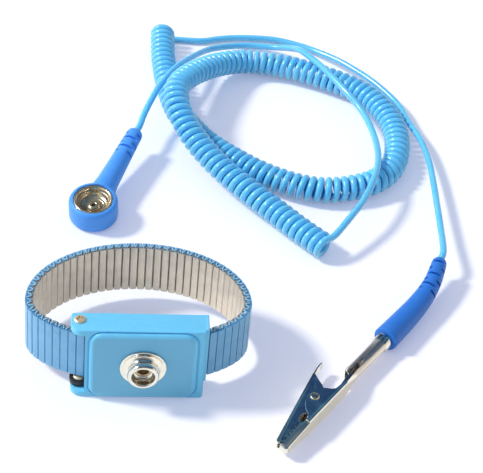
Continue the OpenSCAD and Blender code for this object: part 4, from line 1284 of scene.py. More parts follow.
@dataclass
class Clasp:
    """The moulded clasp with its snap stud, clamp lever and screws."""

    left: float = -20.7
    right: float = 20.3
    front: float = -20.0
    back: float = -12.0
    wall_left: float = -16.4
    height: float = 28.6
    middle: float = 1.4
    front_wall: float = 1.6
    end_wall: float = 2.2
    side_wall: float = 1.6
    ear_round: float = 3.4
    panel: Pair = (30.7, 24.8)
    panel_round: float = 3.0
    plinth_rim: float = 1.1
    panel_stands: float = 1.1
    panel_edge: float = 1.7
    panel_sunk: float = 0.6
    groove: Pair = (1.0, 0.35)
    corner: float = 1.2
    lip_low: float = 6.5
    hinge: Pair = (-18.0, -15.2)
    band_middle: float = -15.64
    band_thick: float = 2.52
    gap: float = 0.3
    lug_low: float = 2.5
    lug_thick: float = 1.7
    lug_round: float = 2.6
    arm: float = 4.4
    lever_length: float = 25.0
    lever_thick: float = 1.4
    screw: float = 2.0
    screw_head: Pair = (3.7, 0.6)
    flange: float = 14.3
    stud: float = 9.7
    stud_height: float = 4.4
    mouth: float = 7.0
    eyelet: float = 3.9

    def build(self, finishes: Finishes) -> None:
        """Builds every piece of the clasp.

        Args:
            finishes: the materials.
        """
        facing = move(self.middle, self.front - self.panel_stands, self.height / 2) @ turn(90, "X")
        self.housing().piece("housing", Body.ROOT, Slot.HOUSING, finishes, "clasp_housing", angle=28.0)
        self.snap_stud().place(facing).piece("stud", Body.ROOT, Slot.NICKEL, finishes, "snap_stud", angle=60.0)
        self.stud_eyelet().place(facing).piece("stud_rivet", Body.ROOT, Slot.STEEL, finishes, "stud_eyelet",
                                               angle=60.0, finish=CUP_BRASS)
        self.lever().piece("lever", Body.LEVER, Slot.BLACK, finishes, "clamp_lever")
        self.screws().piece("lever_screws", Body.ROOT, Slot.WARM, finishes, "hinge_screws", angle=40.0,
                            finish=SCREW_ZINC)

    def panel_face(self, width: float, height: float, radius: float) -> Shape:
        """Makes the raised panel, whose edge rounds over to its face in facets.

        Args:
            width: its width.
            height: its height.
            radius: its corner radius.

        Returns:
            The panel in its place, sunk into the front wall.
        """
        rise, facets = self.panel_stands - 0.05, 7
        made = Shape.plate(rectangle(width, height), self.panel_stands + self.panel_sunk - rise, radius, 10)
        for k in range(facets):
            a, b = (math.radians(90.0 * i / facets) for i in (k, k + 1))
            cap = [f for f in made.bm.faces if f.normal.z > 0.9 and all(v.co.z > 0.01 for v in f.verts)]
            top = max(f.calc_center_median().z for f in cap)
            cap = [f for f in cap if f.calc_center_median().z > top - 0.001 and len(f.verts) > 8]
            bmesh.ops.inset_region(made.bm, faces=cap, thickness=self.panel_edge * (math.cos(a) - math.cos(b)),
                                   depth=rise * (math.sin(b) - math.sin(a)), use_even_offset=True)
            made.bm.normal_update()
        return made.place(move(self.middle, self.front + self.panel_sunk, self.height / 2), turn(90, "X"))

    def housing(self) -> Shape:
        """Builds the housing: walls, panel, lip, ears, pockets and holes.

        Returns:
            The housing in its place.
        """
        x0, x1, y0, y1, h = self.left, self.right, self.front, self.back, self.height
        inner_front, band_back = y0 + self.front_wall, self.band_middle + self.band_thick / 2 + self.gap
        band_front = self.band_middle - self.band_thick / 2 - self.gap
        body = Shape.plate([(x0, y0), (x1, y0), (x1, y1), (x0, y1)], h,
                           {0: self.ear_round, 1: self.corner, 3: self.corner}, 8)
        body.soften(0.45, 3, where=level(lambda p: True))
        rim, corner = 2 * self.plinth_rim, self.panel_round + self.plinth_rim
        width, height = (side + rim for side in self.panel)
        panel = self.panel_face(width, height, corner)
        lip = Shape.block((x1 - 0.6, y0 + self.corner, self.lip_low), (x1 + 0.7, y1, h)).soften(0.3, 3)
        room, ear = self.wall_left + 1.4, self.lug_low - self.gap
        pocket = Shape.block((room, inner_front, self.end_wall),
                             (x1 - self.side_wall, band_back, h - self.end_wall))
        door = Shape.block((room, band_front, self.end_wall),
                           (self.hinge[0] + self.lever_length + self.gap, y1 + 1, h - self.end_wall))
        ears = Shape.block((x0 - 1, y0 - 3, ear), (self.wall_left, y1 + 2, h - ear))
        arms = Shape.block((self.wall_left - 0.5, inner_front, ear),
                           (self.hinge[0] + self.arm + 0.2 + self.gap, y1 + 2, h - ear))
        band = Shape.block((BAND_SIDE - 0.6, band_front, (h - LINK_HEIGHT) / 2 - 0.7),
                           (x1 + 2.4, y1 + 1, (h + LINK_HEIGHT) / 2 + 0.7))
        hole = Shape.rod(self.screw / 2 + SNUG, h + 2).place(move(*self.hinge, -1))
        sink = Shape.rod(self.screw / 2 + 0.7, 0.6).place(move(*self.hinge, -0.01))
        bore = Shape.rod(self.eyelet / 2 + SNUG, 6, 48).place(move(self.middle, inner_front + 1, h / 2),
                                                              turn(90, "X"))
        wide, deep = self.groove
        groove = Shape.plate(rectangle(width + wide, height + wide), 2 * deep, corner + wide / 2, 10)
        body.cut(groove.place(move(self.middle, y0 + deep, h / 2), turn(90, "X")))
        body.join(panel, lip)
        body.cut(pocket, door, ears, arms, band, hole, sink, bore)
        return body.soften(0.12, 2, 50.0)

    def snap_stud(self) -> Shape:
        """Builds the stud: a dished flange, a waisted neck and an open head.

        Returns:
            The stud, standing on its flange.
        """
        rf, rs, rm, re = self.flange / 2, self.stud / 2, self.mouth / 2, self.eyelet / 2 + SNUG
        top = self.stud_height
        return Shape.lathe([
            (re, 0), (rf - 0.2, 0), (rf, 0.2), (rf, 0.45), (rf - 0.25, 0.62), (rf - 0.7, 0.55), (rf - 1.1, 0.4),
            (rs + 0.5, 0.55), (rs - 0.15, 0.95), (rs - 0.4, 1.5), (rs - 0.35, 2.0), (rs, 2.5), (rs, top - 0.75),
            (rs - 0.2, top - 0.25), (rs - 0.65, top), (rm + 0.2, top - 0.05), (rm, top - 0.35), (rm - 0.05, 1.5),
            (rm - 0.5, 1.1), (re + 0.25, 0.95), (re, 0.75)], 96, 0.12)

    def stud_eyelet(self) -> Shape:
        """Builds the eyelet that rivets the stud to the wall.

        Returns:
            The eyelet, on the stud's axis.
        """
        r, out = self.eyelet / 2, 1.5
        wall = -(self.panel_stands + self.front_wall + 0.44)
        return Shape.lathe([
            (r - 0.35, wall - 0.5), (r - 0.35, out - 0.1), (r - 0.1, out + 0.15), (r + 0.45, out + 0.05),
            (r + 0.85, out - 0.4), (r + 0.35, out - 0.45), (r, 0.8), (r, wall - SNUG), (r + 0.9, wall - SNUG),
            (r + 0.8, wall - 0.4), (r + 0.1, wall - 0.55)], 64, 0.1)

    def lever(self) -> Shape:
        """Builds the clamp lever: two lugs, arms, plate and thumb ridges.

        Returns:
            The lever in its place.
        """
        x, y = self.hinge
        plate_y, thick = self.band_middle + self.band_thick / 2 + self.gap, self.lever_thick
        low = max(self.lug_low, self.end_wall + self.gap)
        high, end = self.height - low, x + self.lever_length
        made = Shape.block((x + self.arm, plate_y, low), (end, plate_y + thick, high))
        made.soften(thick * 0.45, 4, where=lambda e: all(v.co.x > end - 0.1 for v in e.verts)
                    and abs(e.verts[0].co.z - e.verts[1].co.z) > 1)
        for z, more in ((self.lug_low, 0.4), (self.height - self.lug_low - self.lug_thick, 0.0)):
            lug = Shape.rod(self.lug_round + more, self.lug_thick, 48)
            arm = Shape.block((x, min(plate_y, y - 0.4), z),
                              (x + self.arm + 0.2, y + self.lug_round, z + self.lug_thick))
            made.join(lug.place(move(x, y, z)), arm)
        for k in range(3):
            ridge = Shape.rod(0.35, high - low - 6, 16)
            made.join(ridge.place(move(end - 2.2 - 1.6 * k, plate_y + thick, low + 3)))
        made.cut(Shape.rod(self.screw / 2 + 0.05, self.height + 2, 48).place(move(x, y, -1)))
        return made.soften(0.14, 2, 50.0)

    def pan_screw(self, length: float) -> Shape:
        """Builds a cross-recessed pan-head screw whose head stands on z = 0.

        Args:
            length: its length under the head.

        Returns:
            The screw.
        """
        s, r, h = self.screw / 2, self.screw_head[0] / 2, self.screw_head[1]
        made = Shape.lathe([(0, -length), (s - 0.2, -length), (s, -length + 0.2), (s, SNUG), (r, SNUG),
                            (r, h * 0.4), (r - 0.35, h * 0.8), (r - 0.8, h), (0, h)], 48, 0.06)
        for angle in (20, 110):
            made.cut(Shape.block((-1.1, -0.26, h - 0.5), (1.1, 0.26, h + 1)).place(turn(angle)))
        return made

    def screws(self) -> Shape:
        """Builds both hinge screws: one through each ear, the lower one from inside its lug.

        Returns:
            The screws in their places.
        """
        length = self.lug_low - self.gap + self.lug_thick
        upper = self.pan_screw(length).place(move(*self.hinge, self.height))
        lower = self.pan_screw(length - 0.3).place(move(*self.hinge, self.lug_low + self.lug_thick))
        return upper.add(lower)


# ---------------------------------------------------------------- expansion band


@dataclass
class ExpansionBand:
    """Two layers of folded links round the wrist, tied over both edges by staples."""

    width: float = 70.2
    depth_back: float = 26.6
    depth_front: float = 17.6
    loop_y: float = -1.1
    loop_steps: int = 180
    pitch: float = 2.55
    link_thick: float = 1.2
    link_gap: float = 0.12
    link_width: dict[Layer, float] = field(default_factory=lambda: {Layer.OUTER: 2.47, Layer.INNER: 2.35})
    link_edge: dict[Layer, Pair] = field(default_factory=lambda: {Layer.OUTER: (0.12, 0.12),
                                                                  Layer.INNER: (0.24, 0.36)})
    crown: float = 0.06
    sheet: float = 0.25
    face_fold: float = 0.2
    staple_width: float = 0.4
    staple_thick: float = 0.35
    staple_wire: float = 0.32
    staple_leg: float = 2.4
    staple_round: float = 0.16
    middle_z: float = 14.3
    back_line: float = 8.0
    stretch_from: float = -11.0
    path: Path = field(init=False)
    count: int = field(init=False)
    step: float = field(init=False)
    back_from: int = field(init=False)
    back_to: int = field(init=False)

    def __post_init__(self) -> None:
        """Lays out the path of the band's middle and shares the links out on it."""
        half = (2 * self.link_thick + self.link_gap) / 2
        a, back, front = self.width / 2 - half, self.depth_back - half, self.depth_front - half
        end = math.degrees(math.asin(BAND_SIDE / a))
        first, last = -90 + end, 270 - end
        points = []
        for i in range(self.loop_steps + 1):
            t = math.radians(first + (last - first) * i / self.loop_steps)
            reach = back if math.sin(t) >= 0 else front
            points.append(Vector((a * math.cos(t), self.loop_y + reach * math.sin(t), 0.0)))
        self.path = Path(points)
        self.count = math.floor(self.path.length / self.pitch)
        self.step = self.path.length / self.count
        far = [i for i in range(self.count) if self.path.at((i + 0.5) * self.step).y > self.back_line]
        self.back_from, self.back_to = far[0], far[-1]

    def heading(self, s: float) -> float:
        """Gives the path's direction.

        Args:
            s: the distance along the path.

        Returns:
            The direction in degrees.
        """
        along = self.path.at(s + 0.3) - self.path.at(s - 0.3)
        return math.degrees(math.atan2(along.y, along.x))

    def link(self, s: float, layer: Layer) -> Shape:
        """Builds one folded link: a flat tube with a crowned face, open at both ends.

        Args:
            s: where it sits on the path.
            layer: the layer that it is in.

        Returns:
            The link in its place.
        """
        w, t, c = self.link_width[layer] / 2, self.link_thick, self.sheet
        edge, drop = self.link_edge[layer]
        brow = t - self.crown
        made = Shape.plate([(-w, 0.0), (w, 0.0), (w, brow - drop), (w - edge, brow), (0.0, t), (edge - w, brow),
                            (-w, brow - drop)], LINK_HEIGHT)
        caps = [f for f in made.bm.faces if abs(f.normal.z) > 0.9]
        bmesh.ops.inset_region(made.bm, faces=caps, thickness=c, depth=0.0, use_even_offset=True)
        bmesh.ops.delete(made.bm, geom=caps, context="FACES_ONLY")
        bmesh.ops.bridge_loops(made.bm, edges=[e for e in made.bm.edges if len(e.link_faces) == 1])
        if layer is Layer.OUTER:
            for vert in made.bm.verts:
                if t / 2 < vert.co.y < brow - c / 2 and abs(vert.co.x) < w - c / 2:
                    vert.co.y -= self.face_fold
        return made.place(Matrix.Translation(self.path.at(s)), turn(self.heading(s)),
                          move(0, 0, self.middle_z - LINK_HEIGHT / 2), Matrix.Scale(layer.value, 4, (0, 1, 0)),
                          move(0, self.link_gap / 2, 0))

    def staple(self, i: int, side: int, down: bool) -> tuple[Shape, list[Vector]]:
        """Builds one staple, from an outer link over its edge into an inner link.

        Args:
            i: the outer link's number.
            side: -1 or 1 for the inner link before or behind it.
            down: True at the lower edge.

        Returns:
            The staple, and its feet in the outer and the inner link.
        """
        off = (self.link_gap + self.link_thick) / 2
        places = (((i + 0.5 + side * 0.17) * self.step, 0.12 - off),
                  ((i + 0.5 + side * 0.5) * self.step - side * 0.3, off))
        feet = []
        for s, shift in places:
            a = math.radians(self.heading(s))
            feet.append(self.path.at(s) + shift * Vector((-math.sin(a), math.cos(a), 0.0)))
        run = feet[1] - feet[0]
        w, reach, leg, t = self.staple_wire / 2, run.length, self.staple_leg, self.staple_thick
        made = Shape.plate([(-w, -leg), (w, -leg), (w, 0.02), (reach - w, 0.02), (reach - w, -leg),
                            (reach + w, -leg), (reach + w, t), (-w, t)], self.staple_width,
                           {6: self.staple_round, 7: self.staple_round}, 2)
        made.place(Matrix.Translation(feet[0] + self.middle_z * UP), Matrix.Scale(-1 if down else 1, 4, UP),
                   turn(math.degrees(math.atan2(run.y, run.x))),
                   move(0, self.staple_width / 2, LINK_HEIGHT / 2), turn(90, "X"))
        return made, feet

    def build(self, finishes: Finishes) -> None:
        """Builds every link and staple, side by side and at the back.

        Args:
            finishes: the materials.
        """
        n, first, last = self.count, self.back_from, self.back_to
        runs = {Run.RIGHT: (range(0, first), range(0, first + 1)),
                Run.BACK: (range(first, last + 1), range(first + 1, last + 1)),
                Run.LEFT: (range(last + 1, n), range(last + 1, n + 1))}
        for run, (outer, inner) in runs.items():
            self.group("outer_links", run, Slot.PAINT, finishes,
                       [(self.link((i + 0.5) * self.step, Layer.OUTER), []) for i in outer])
            self.group("inner_links", run, Slot.STEEL, finishes,
                       [(self.link(i * self.step, Layer.INNER), []) for i in inner])
            ties = [(i, side) for i in outer for side in (-1, 1)]
            if run is Run.BACK:
                ties = ties[1:-1]
            else:
                ties.append((first, -1) if run is Run.RIGHT else (last, 1))
            # the staples take the lighter paint, which is painted light on the band's edges
            self.group("staples", run, Slot.PAINT, finishes,
                       [self.staple(i, side, down) for i, side in ties for down in (False, True)], STAPLE_PAINT_PAINTED_LIGHT)

    def group(self, kind: str, run: Run, slot: Slot, finishes: Finishes,
              parts: list[tuple[Shape, list[Vector]]], finish: Finish | None = None) -> None:
        """Gathers links or staples in one piece, which stretches link by link at the sides.

        Args:
            kind: the start of the name of the CAD node that the piece stands for.
            run: the stretch of the band.
            slot: the slot of its finish.
            finishes: the materials.
            parts: the shapes, each with the feet of a staple or none.
            finish: a finish other than the slot's own.
        """
        whole, follow = Shape(), []
        for shape, feet in parts:
            corners = [vert.co for vert in shape.bm.verts]
            middle = [sum(corners, Vector()) / len(corners)]
            for corner in corners:
                near = min(feet or middle, key=lambda foot: (corner.xy - foot.xy).length)
                follow.append(self.share(near.y))
            whole.add(shape)
        node, back = f"{kind}_{run.value}", run is Run.BACK
        made = whole.piece(f"band_{node}", Body.BAND_BACK if back else Body.ROOT, slot, finishes, node, angle=24.0,
                           ride=back, finish=finish)
        if not back:
            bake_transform(made, Body.ROOT.value, Body.BAND_BACK.value, start=(0.0, self.stretch_from * MM, 0.0),
                     end=(0.0, self.back_line * MM, 0.0))
            made.data.attributes[BLEND].data.foreach_set("value", follow)

    def share(self, y: float) -> float:
        """Returns how much of the stretch a link at y takes, from 0 to 1."""
        return min(max((y - self.stretch_from) / (self.back_line - self.stretch_from), 0.0), 1.0)


# ---------------------------------------------------------------- snap plug


@dataclass
class SnapPlug:
    """The snap plug: a soft moulded head and relief round a sprung socket cup."""

    place: PlugPlace
    head: float = 16.9
    height: float = 8.4
    socket: float = 13.7
    bore: float = 10.7
    cup_height: float = 4.3
    cup_low: float = 4.0
    relief: Pair = (8.0, 5.8)
    cord_seat: float = 5.0
    flex_slots: int = 5
    voxel: float = 0.32
    smoothings: int = 5
    spring_wire: float = 0.6
    spring_gap: float = 40.0
    spring_steps: int = 64

    def build(self, finishes: Finishes) -> list[bpy.types.Object]:
        """Builds the plug's pieces.

        Args:
            finishes: the materials.

        Returns:
            The pieces.
        """
        at = self.place.matrix()
        cup = at @ move(0, 0, self.cup_low)
        return [
            self.moulding().place(at).piece("plug_moulding", Body.ROOT, Slot.PLUG, finishes, "plug_body", angle=40.0),
            self.cup().place(cup).piece("plug_cup", Body.ROOT, Slot.WARM, finishes, "socket_cup", angle=60.0,
                                        finish=CUP_BRASS),
            self.spring().place(cup).piece("plug_spring", Body.ROOT, Slot.NICKEL, finishes, "socket_spring",
                                           angle=60.0),
            self.eyelet().place(cup).piece("plug_eyelet", Body.ROOT, Slot.STEEL, finishes, "socket_eyelet",
                                           angle=60.0, finish=CUP_BRASS)]

    def moulding(self) -> Shape:
        """Builds the head and relief as one soft form, then cuts the seat and the flex slots.

        Returns:
            The moulding, with the socket's middle over the origin.
        """
        re, r1, r2 = self.head / 2, self.relief[0] / 2, self.relief[1] / 2
        h, length, foot = self.height, RELIEF_LENGTH, self.place.foot
        made = Shape.lathe([(0, 0), (foot, 0), (re - 0.6, 0.25), (re - 0.15, 0.75), (re, 1.4), (re, h - 1.6),
                            (re - 0.2, h - 0.7), (re - 0.7, h - 0.15), (re - 1.2, h), (0, h)], 96)
        outward = move(0, 0, RELIEF_HEIGHT) @ turn(90, "Y")
        relief = Shape.lathe([(0, 4), (r1, 4), (r1, re + 1.5), (r1 - 0.55 * (r1 - r2), length * 0.6),
                              (r2, length - 1.2), (r2 - 0.3, length - 0.4), (r2 - 0.9, length), (0, length)], 64)
        neck = Shape.lathe([(0, re - 3.5), (r1 + 0.75, re - 3.5), (r1 + 0.35, re), (r1, re + 3.5), (0, re + 3.5)], 64)
        made.join(relief.place(outward), neck.place(outward)).remesh(self.voxel, self.smoothings)
        made.cut(Shape.rod(self.socket / 2 + SNUG, self.cup_height + 1, 96).place(move(0, 0, self.cup_low - SNUG)))
        made.cut(Shape.rod(1.5, 2, 48).place(move(0, 0, self.cup_low - 1)))
        made.cut(Shape.rod(CORD / 2 + SNUG, 6, 48).place(move(length - self.cord_seat, 0, RELIEF_HEIGHT),
                                                         turn(90, "Y")))
        slots = [move(length - 3.2 - 2.4 * k, 0, RELIEF_HEIGHT) @ turn(90 * (k % 2), "X")
                 for k in range(self.flex_slots)]
        return cut_flex_slots(made, slots, 10)

    def cup(self) -> Shape:
        """Builds the cup: a broad rolled rim, lead-in, bore, groove for the spring and floor.

        Returns:
            The cup, standing on its floor.
        """
        ro, rb, h = self.socket / 2, self.bore / 2, self.cup_height
        return Shape.lathe([
            (1.3, 0), (ro, 0), (ro, h - 0.5), (ro - 0.15, h - 0.18), (ro - 0.5, h), (ro - 0.85, h - 0.1),
            (ro - 1.15, h - 0.4), (rb + 0.2, h - 0.85), (rb + 0.1, h - 1.05), (rb + 0.45, h - 1.15),
            (rb + 0.45, h - 1.85), (rb, h - 1.95), (rb - 0.12, h - 2.5), (rb - 0.5, h - 3.05),
            (rb - 1.1, h - 3.4), (rb - 1.7, h - 3.5), (rb - 1.8, h - 3.65), (rb - 2.6, 0.5), (1.3, 0.5)], 96, 0.1)

    def spring(self) -> Shape:
        """Builds the split ring of round wire in the cup's groove.

        Returns:
            The ring, over the cup's floor.
        """
        r, rings = self.bore / 2 + 0.1, []
        for i in range(self.spring_steps + 1):
            a = math.radians(35 + (360 - self.spring_gap) * i / self.spring_steps)
            out = Vector((math.cos(a), math.sin(a), 0.0))
            rings.append(lay(UP.cross(out), r * out, self.spring_wire / 2))
        return Shape.sweep(rings, 12).place(move(0, 0, self.cup_height - 1.5))

    def eyelet(self) -> Shape:
        """Builds the eyelet that holds the cup, through its floor."""
        return Shape.lathe([(0.75, -0.6), (0.75, 1.5), (1.0, 1.75), (1.5, 1.6), (2.1, 1.1), (2.4, 0.54), (1.2, 0.54),
                            (1.2, -0.1), (1.45, -0.6)], 64, 0.08)


def cut_flex_slots(shape: Shape, places: Sequence[Matrix], reach: float) -> Shape:
    """Cuts pairs of slots into a strain relief, down to near its cord.

    Args:
        shape: the relief, in its own place.
        places: the middle of each pair; X runs along the cord and Y to both sides.
        reach: how long they are.

    Returns:
        The relief.
    """
    half, clear = FLEX_SLOT / 2, CORD / 2 + 0.25
    for place in places:
        for side in (0, 180):
            tool = Shape.block((-half, clear, -reach / 2), (half, clear + 4, reach / 2))
            tool.soften(FLEX_SLOT * 0.35, 3, where=lambda e: all(v.co.y < clear + 0.1 for v in e.verts))
            shape.cut(tool.place(place, turn(180 - side, "X")))
    return shape


# ---------------------------------------------------------------- alligator clip


@dataclass
class AlligatorClip:
    """The clip: two toothed jaws of folded sheet on a rivet, a barrel, and the boot of its plug."""

    place: ClipPlace
    length: float = 59.4
    width: float = 7.2
    sheet: float = 0.5
    jaw_width: float = 6.0
    rivet: float = 2.2
    rivet_at: Pair = (21.5, 1.8)
    spine: float = -2.9
    barrel_start: float = 40.0
    barrel_bore: float = 4.1
    barrel_wall: float = 0.35
    boot_start: float = 59.8
    boot: Pair = (8.4, 4.8)
    boot_axis: tuple[tuple[float, float, float], ...] = ((0, 0, 0), (12, 0, 0.05), (22, 0.2, 0.7), (31, 1.3, 2),
                                                         (40.4, 4.2, 3.8))
    flex_slots: int = 6
    pin: float = 4.0
    tooth: float = 1.6
    teeth: int = 6
    tip_share: float = 0.5
    taper_length: float = 14.5
    press_length: float = 1.1
    press_share: float = 0.55
    flare: float = 0.62
    spring_wire: float = 0.7
    spring_legs: Pair = (-60.0, 83.0)
    spring_turns: int = 3
    spring_steps: int = 88

    def boot_line(self) -> list[Vector]:
        """Returns the bent centreline of the boot, on the table."""
        at = self.place.matrix() @ move(self.boot_start)
        return smooth_line([at @ Vector(point) for point in self.boot_axis], 4)

    def build(self, finishes: Finishes) -> list[bpy.types.Object]:
        """Builds the clip's pieces.

        Args:
            finishes: the materials.

        Returns:
            The boot.
        """
        at = self.place.matrix()
        self.lower_jaw().place(at).piece("clip_frame", Body.CLIP, Slot.NICKEL, finishes, "clip_lower_jaw",
                                         angle=35.0)
        self.upper_jaw().place(at).piece("clip_jaw", Body.JAW, Slot.NICKEL, finishes, "clip_upper_jaw", angle=35.0)
        self.pivot().place(at).piece("clip_pivot", Body.CLIP, Slot.WARM, finishes, "clip_rivet", angle=45.0)
        self.coil_spring().place(at).piece("clip_torsion_spring", Body.CLIP, Slot.NICKEL, finishes, "clip_spring",
                                           angle=60.0)
        # the boot takes the darker copy of the plug's blue, which is painted shade
        return [self.boot_sleeve().piece("clip_sleeve", Body.ROOT, Slot.PLUG, finishes, "clip_boot", angle=35.0,
                                         finish=BOOT_PVC_PAINTED_SHADE)]

    def boot_sleeve(self) -> Shape:
        """Builds the boot with its mouth, bores and flex slots.

        Returns:
            The boot in its place.
        """
        line, r1, r2 = self.boot_line(), self.boot[0] / 2, self.boot[1] / 2
        last = len(line) - 1
        rings = []
        for i, point in enumerate(line):
            f = i / last
            r = r1 - 0.5 * f - (r1 - r2 - 0.5) * f ** 1.5
            along = (line[min(i + 1, last)] - line[max(i - 1, 0)]).normalized()
            steps = {0: ((0.0, 0.45), (0.12, 0.15), (0.5, 0.0)), last: ((-0.8, 0.0), (0.0, 0.5))}
            for ahead, less in steps.get(i, ((0.0, 0.0),)):
                rings.append(lay(along, point + ahead * along, r - less))
        made = Shape.sweep(rings, 40)
        mouth = self.place.matrix() @ move(self.boot_start - 1) @ turn(90, "Y")
        made.cut(Shape.rod(self.barrel_bore / 2 + self.barrel_wall - 0.1, 5, 48).place(mouth))
        made.cut(Shape.rod(self.pin / 2 + SNUG, 19, 48).place(mouth))
        end = lay(line[-1] - line[-2], line[-1])
        made.cut(Shape.rod(CORD / 2 + SNUG, 7, 48).place(end, move(0, 0, -5.04)))
        slots = []
        for k in range(self.flex_slots):
            s = last - 1.2 - 1.02 * k
            j = math.floor(s)
            centre = line[j].lerp(line[j + 1], s - j)
            slots.append(lay(line[j + 1] - line[j - 1], centre) @ turn(-90, "Y") @ turn(90 * (k % 2), "X"))
        return cut_flex_slots(made, slots, 12)

    def teeth_line(self, lift: float, backward: bool) -> list[Pair]:
        """Returns the corners of a row of teeth.

        Args:
            lift: how far the row is raised.
            backward: True to run from the throat to the tip.

        Returns:
            The corners.
        """
        row = [(0.6 + self.tooth * (i + k / 2), (-0.8 if k else 0.15) + lift)
               for i in range(self.teeth + 1) for k in (0, 1)]
        return row[::-1] if backward else row

    def channel(self, outline: list[Pair], inner: list[Pair], half: float, fold: float,
                folded: Callable[[Vector], bool], flared: Callable[[Vector], bool] | None = None) -> Shape:
        """Folds sheet into a channel: an outline across the clip's width, hollowed by a second one.

        Args:
            outline: the channel seen from its side.
            inner: what is taken out between its two walls.
            half: half its width.
            fold: the radius of its folds.
            folded: a test that picks the corners of the outline whose edges are folds.
            flared: a test that picks the corners where the walls slope down to a narrower part.

        Returns:
            The channel.
        """
        made = Shape.plate(outline, 2 * half).soften(fold, 4, where=level(folded))
        if flared:
            made.soften(self.flare, 1, where=level(flared))
        core = Shape.plate(inner, 2 * (half - self.sheet))
        core.soften(max(fold - self.sheet, 0.15), 3, where=level(folded))
        return made.place(move(0, 0, -half)).cut(core.place(move(0, 0, self.sheet - half)))

    def taper(self, jaw: Shape) -> None:
        """Narrows a jaw from the throat towards its tip, whose end is pressed down.

        Args:
            jaw: the folded jaw, with its tip at x = 0.
        """
        bmesh.ops.bisect_plane(jaw.bm, geom=[*jaw.bm.verts, *jaw.bm.edges, *jaw.bm.faces],
                               plane_co=(self.press_length, 0.0, 0.0), plane_no=(1.0, 0.0, 0.0))
        for vert in jaw.bm.verts:
            along = min(max(vert.co.x / self.taper_length, 0.0), 1.0)
            pressed = min(max(vert.co.x / self.press_length, 0.0), 1.0)
            vert.co.z *= ((self.tip_share + (1.0 - self.tip_share) * along)
                          * (self.press_share + (1.0 - self.press_share) * pressed))

    def lower_jaw(self) -> Shape:
        """Builds the lower jaw: toothed tip, cheeks, neck and rolled barrel.

        Returns:
            The jaw, with its tip at x = 0.
        """
        half, t, base = self.width / 2, self.sheet, self.spine
        tip = [(0.6, base), (14.5, base), (14.5, -1.0), (11.3, -1.05), *self.teeth_line(0.0, True),
               (0.1, -0.6), (0, -2.2)]
        made = self.channel(tip, [(t, base + t), (16.0, base + t), (16.0, 3.0), (t, 3.0)], self.jaw_width / 2, 1.0,
                            lambda p: p.y < base + 0.01)
        self.taper(made)
        cheek = [(12, base), (33.5, base + 0.2), (33.5, -1.2), (31, -1.55), (28.6, -1.3), (27.5, -0.3),
                 (26.7, 1.2), (25.7, 2.5), (24.3, 3.5), (22.4, 4.05), (20.2, 3.9), (18.6, 3.3), (17, 2.4),
                 (15.5, 1.2), (14.2, -0.6), (13, -1.15), (12, -1.2)]
        cheeks = self.channel(cheek, [(11, base + t - 0.03), (34.5, base + t + 0.23), (34.5, 6.0), (11, 6.0)], half,
                              1.1, lambda p: p.y < base + 0.3, lambda p: p.x < 17.4 and p.y > -1.4)
        made.join(cheeks, self.neck(), self.barrel())
        length = self.length - self.barrel_start
        seam = Shape.plate([(0, -0.85), (length - 1, -0.35), (self.length, -0.35), (self.length, 0.35),
                            (length - 1, 0.35), (0, 0.85)], 4)
        made.cut(seam.place(move(self.barrel_start - 2.6), turn(14, "X")))
        made.cut(Shape.rod(self.rivet / 2 + SNUG, self.width + 2, 48).place(move(*self.rivet_at, -half - 1)))
        return made.soften(0.09, 2, 40.0)

    def neck(self) -> Shape:
        """Builds the open neck, which runs from the cheeks' channel into the round of the barrel.

        Returns:
            The neck.
        """
        half, t, bore, low = self.width / 2, self.sheet, self.barrel_bore / 2, self.spine + 0.2
        start, end = 33.3, self.barrel_start + 0.4
        sides = [(start, y, side * z) for y, z in ((low, half - 1.1), (low + 0.35, half - 0.3), (low + 1.0, half),
                                                   (-1.0, half)) for side in (-1, 1)]
        made = Shape.wrapped(*sides, *circle(end, 0.0, bore + self.barrel_wall))
        start, wide = start - 0.4, half - t
        sides = [(start, y, side * z) for y, z in ((low + t, wide - 1.1), (low + t + 0.8, wide), (0.7, wide))
                 for side in (-1, 1)]
        core = Shape.wrapped(*sides, *circle(end + 0.2, 0.2, bore - 0.2))
        opening = Shape.plate([(32, -1.35), (36.8, -0.9), (38.6, 2.0), (38.6, 6), (32, 6)], 2 * half + 2)
        return made.cut(core, opening.place(move(0, 0, -half - 1)))

    def barrel(self) -> Shape:
        """Builds the rolled barrel with the bead at its end.

        Returns:
            The barrel.
        """
        bore, length = self.barrel_bore / 2, self.length - self.barrel_start
        out = bore + self.barrel_wall
        made = Shape.lathe([(bore, 0), (out, 0), (out, length - 3.6), (out + 0.4, length - 2.9),
                            (out + 0.4, length - 0.15), (out + 0.25, length), (bore, length)], 64)
        return made.place(move(self.barrel_start), turn(90, "Y"))

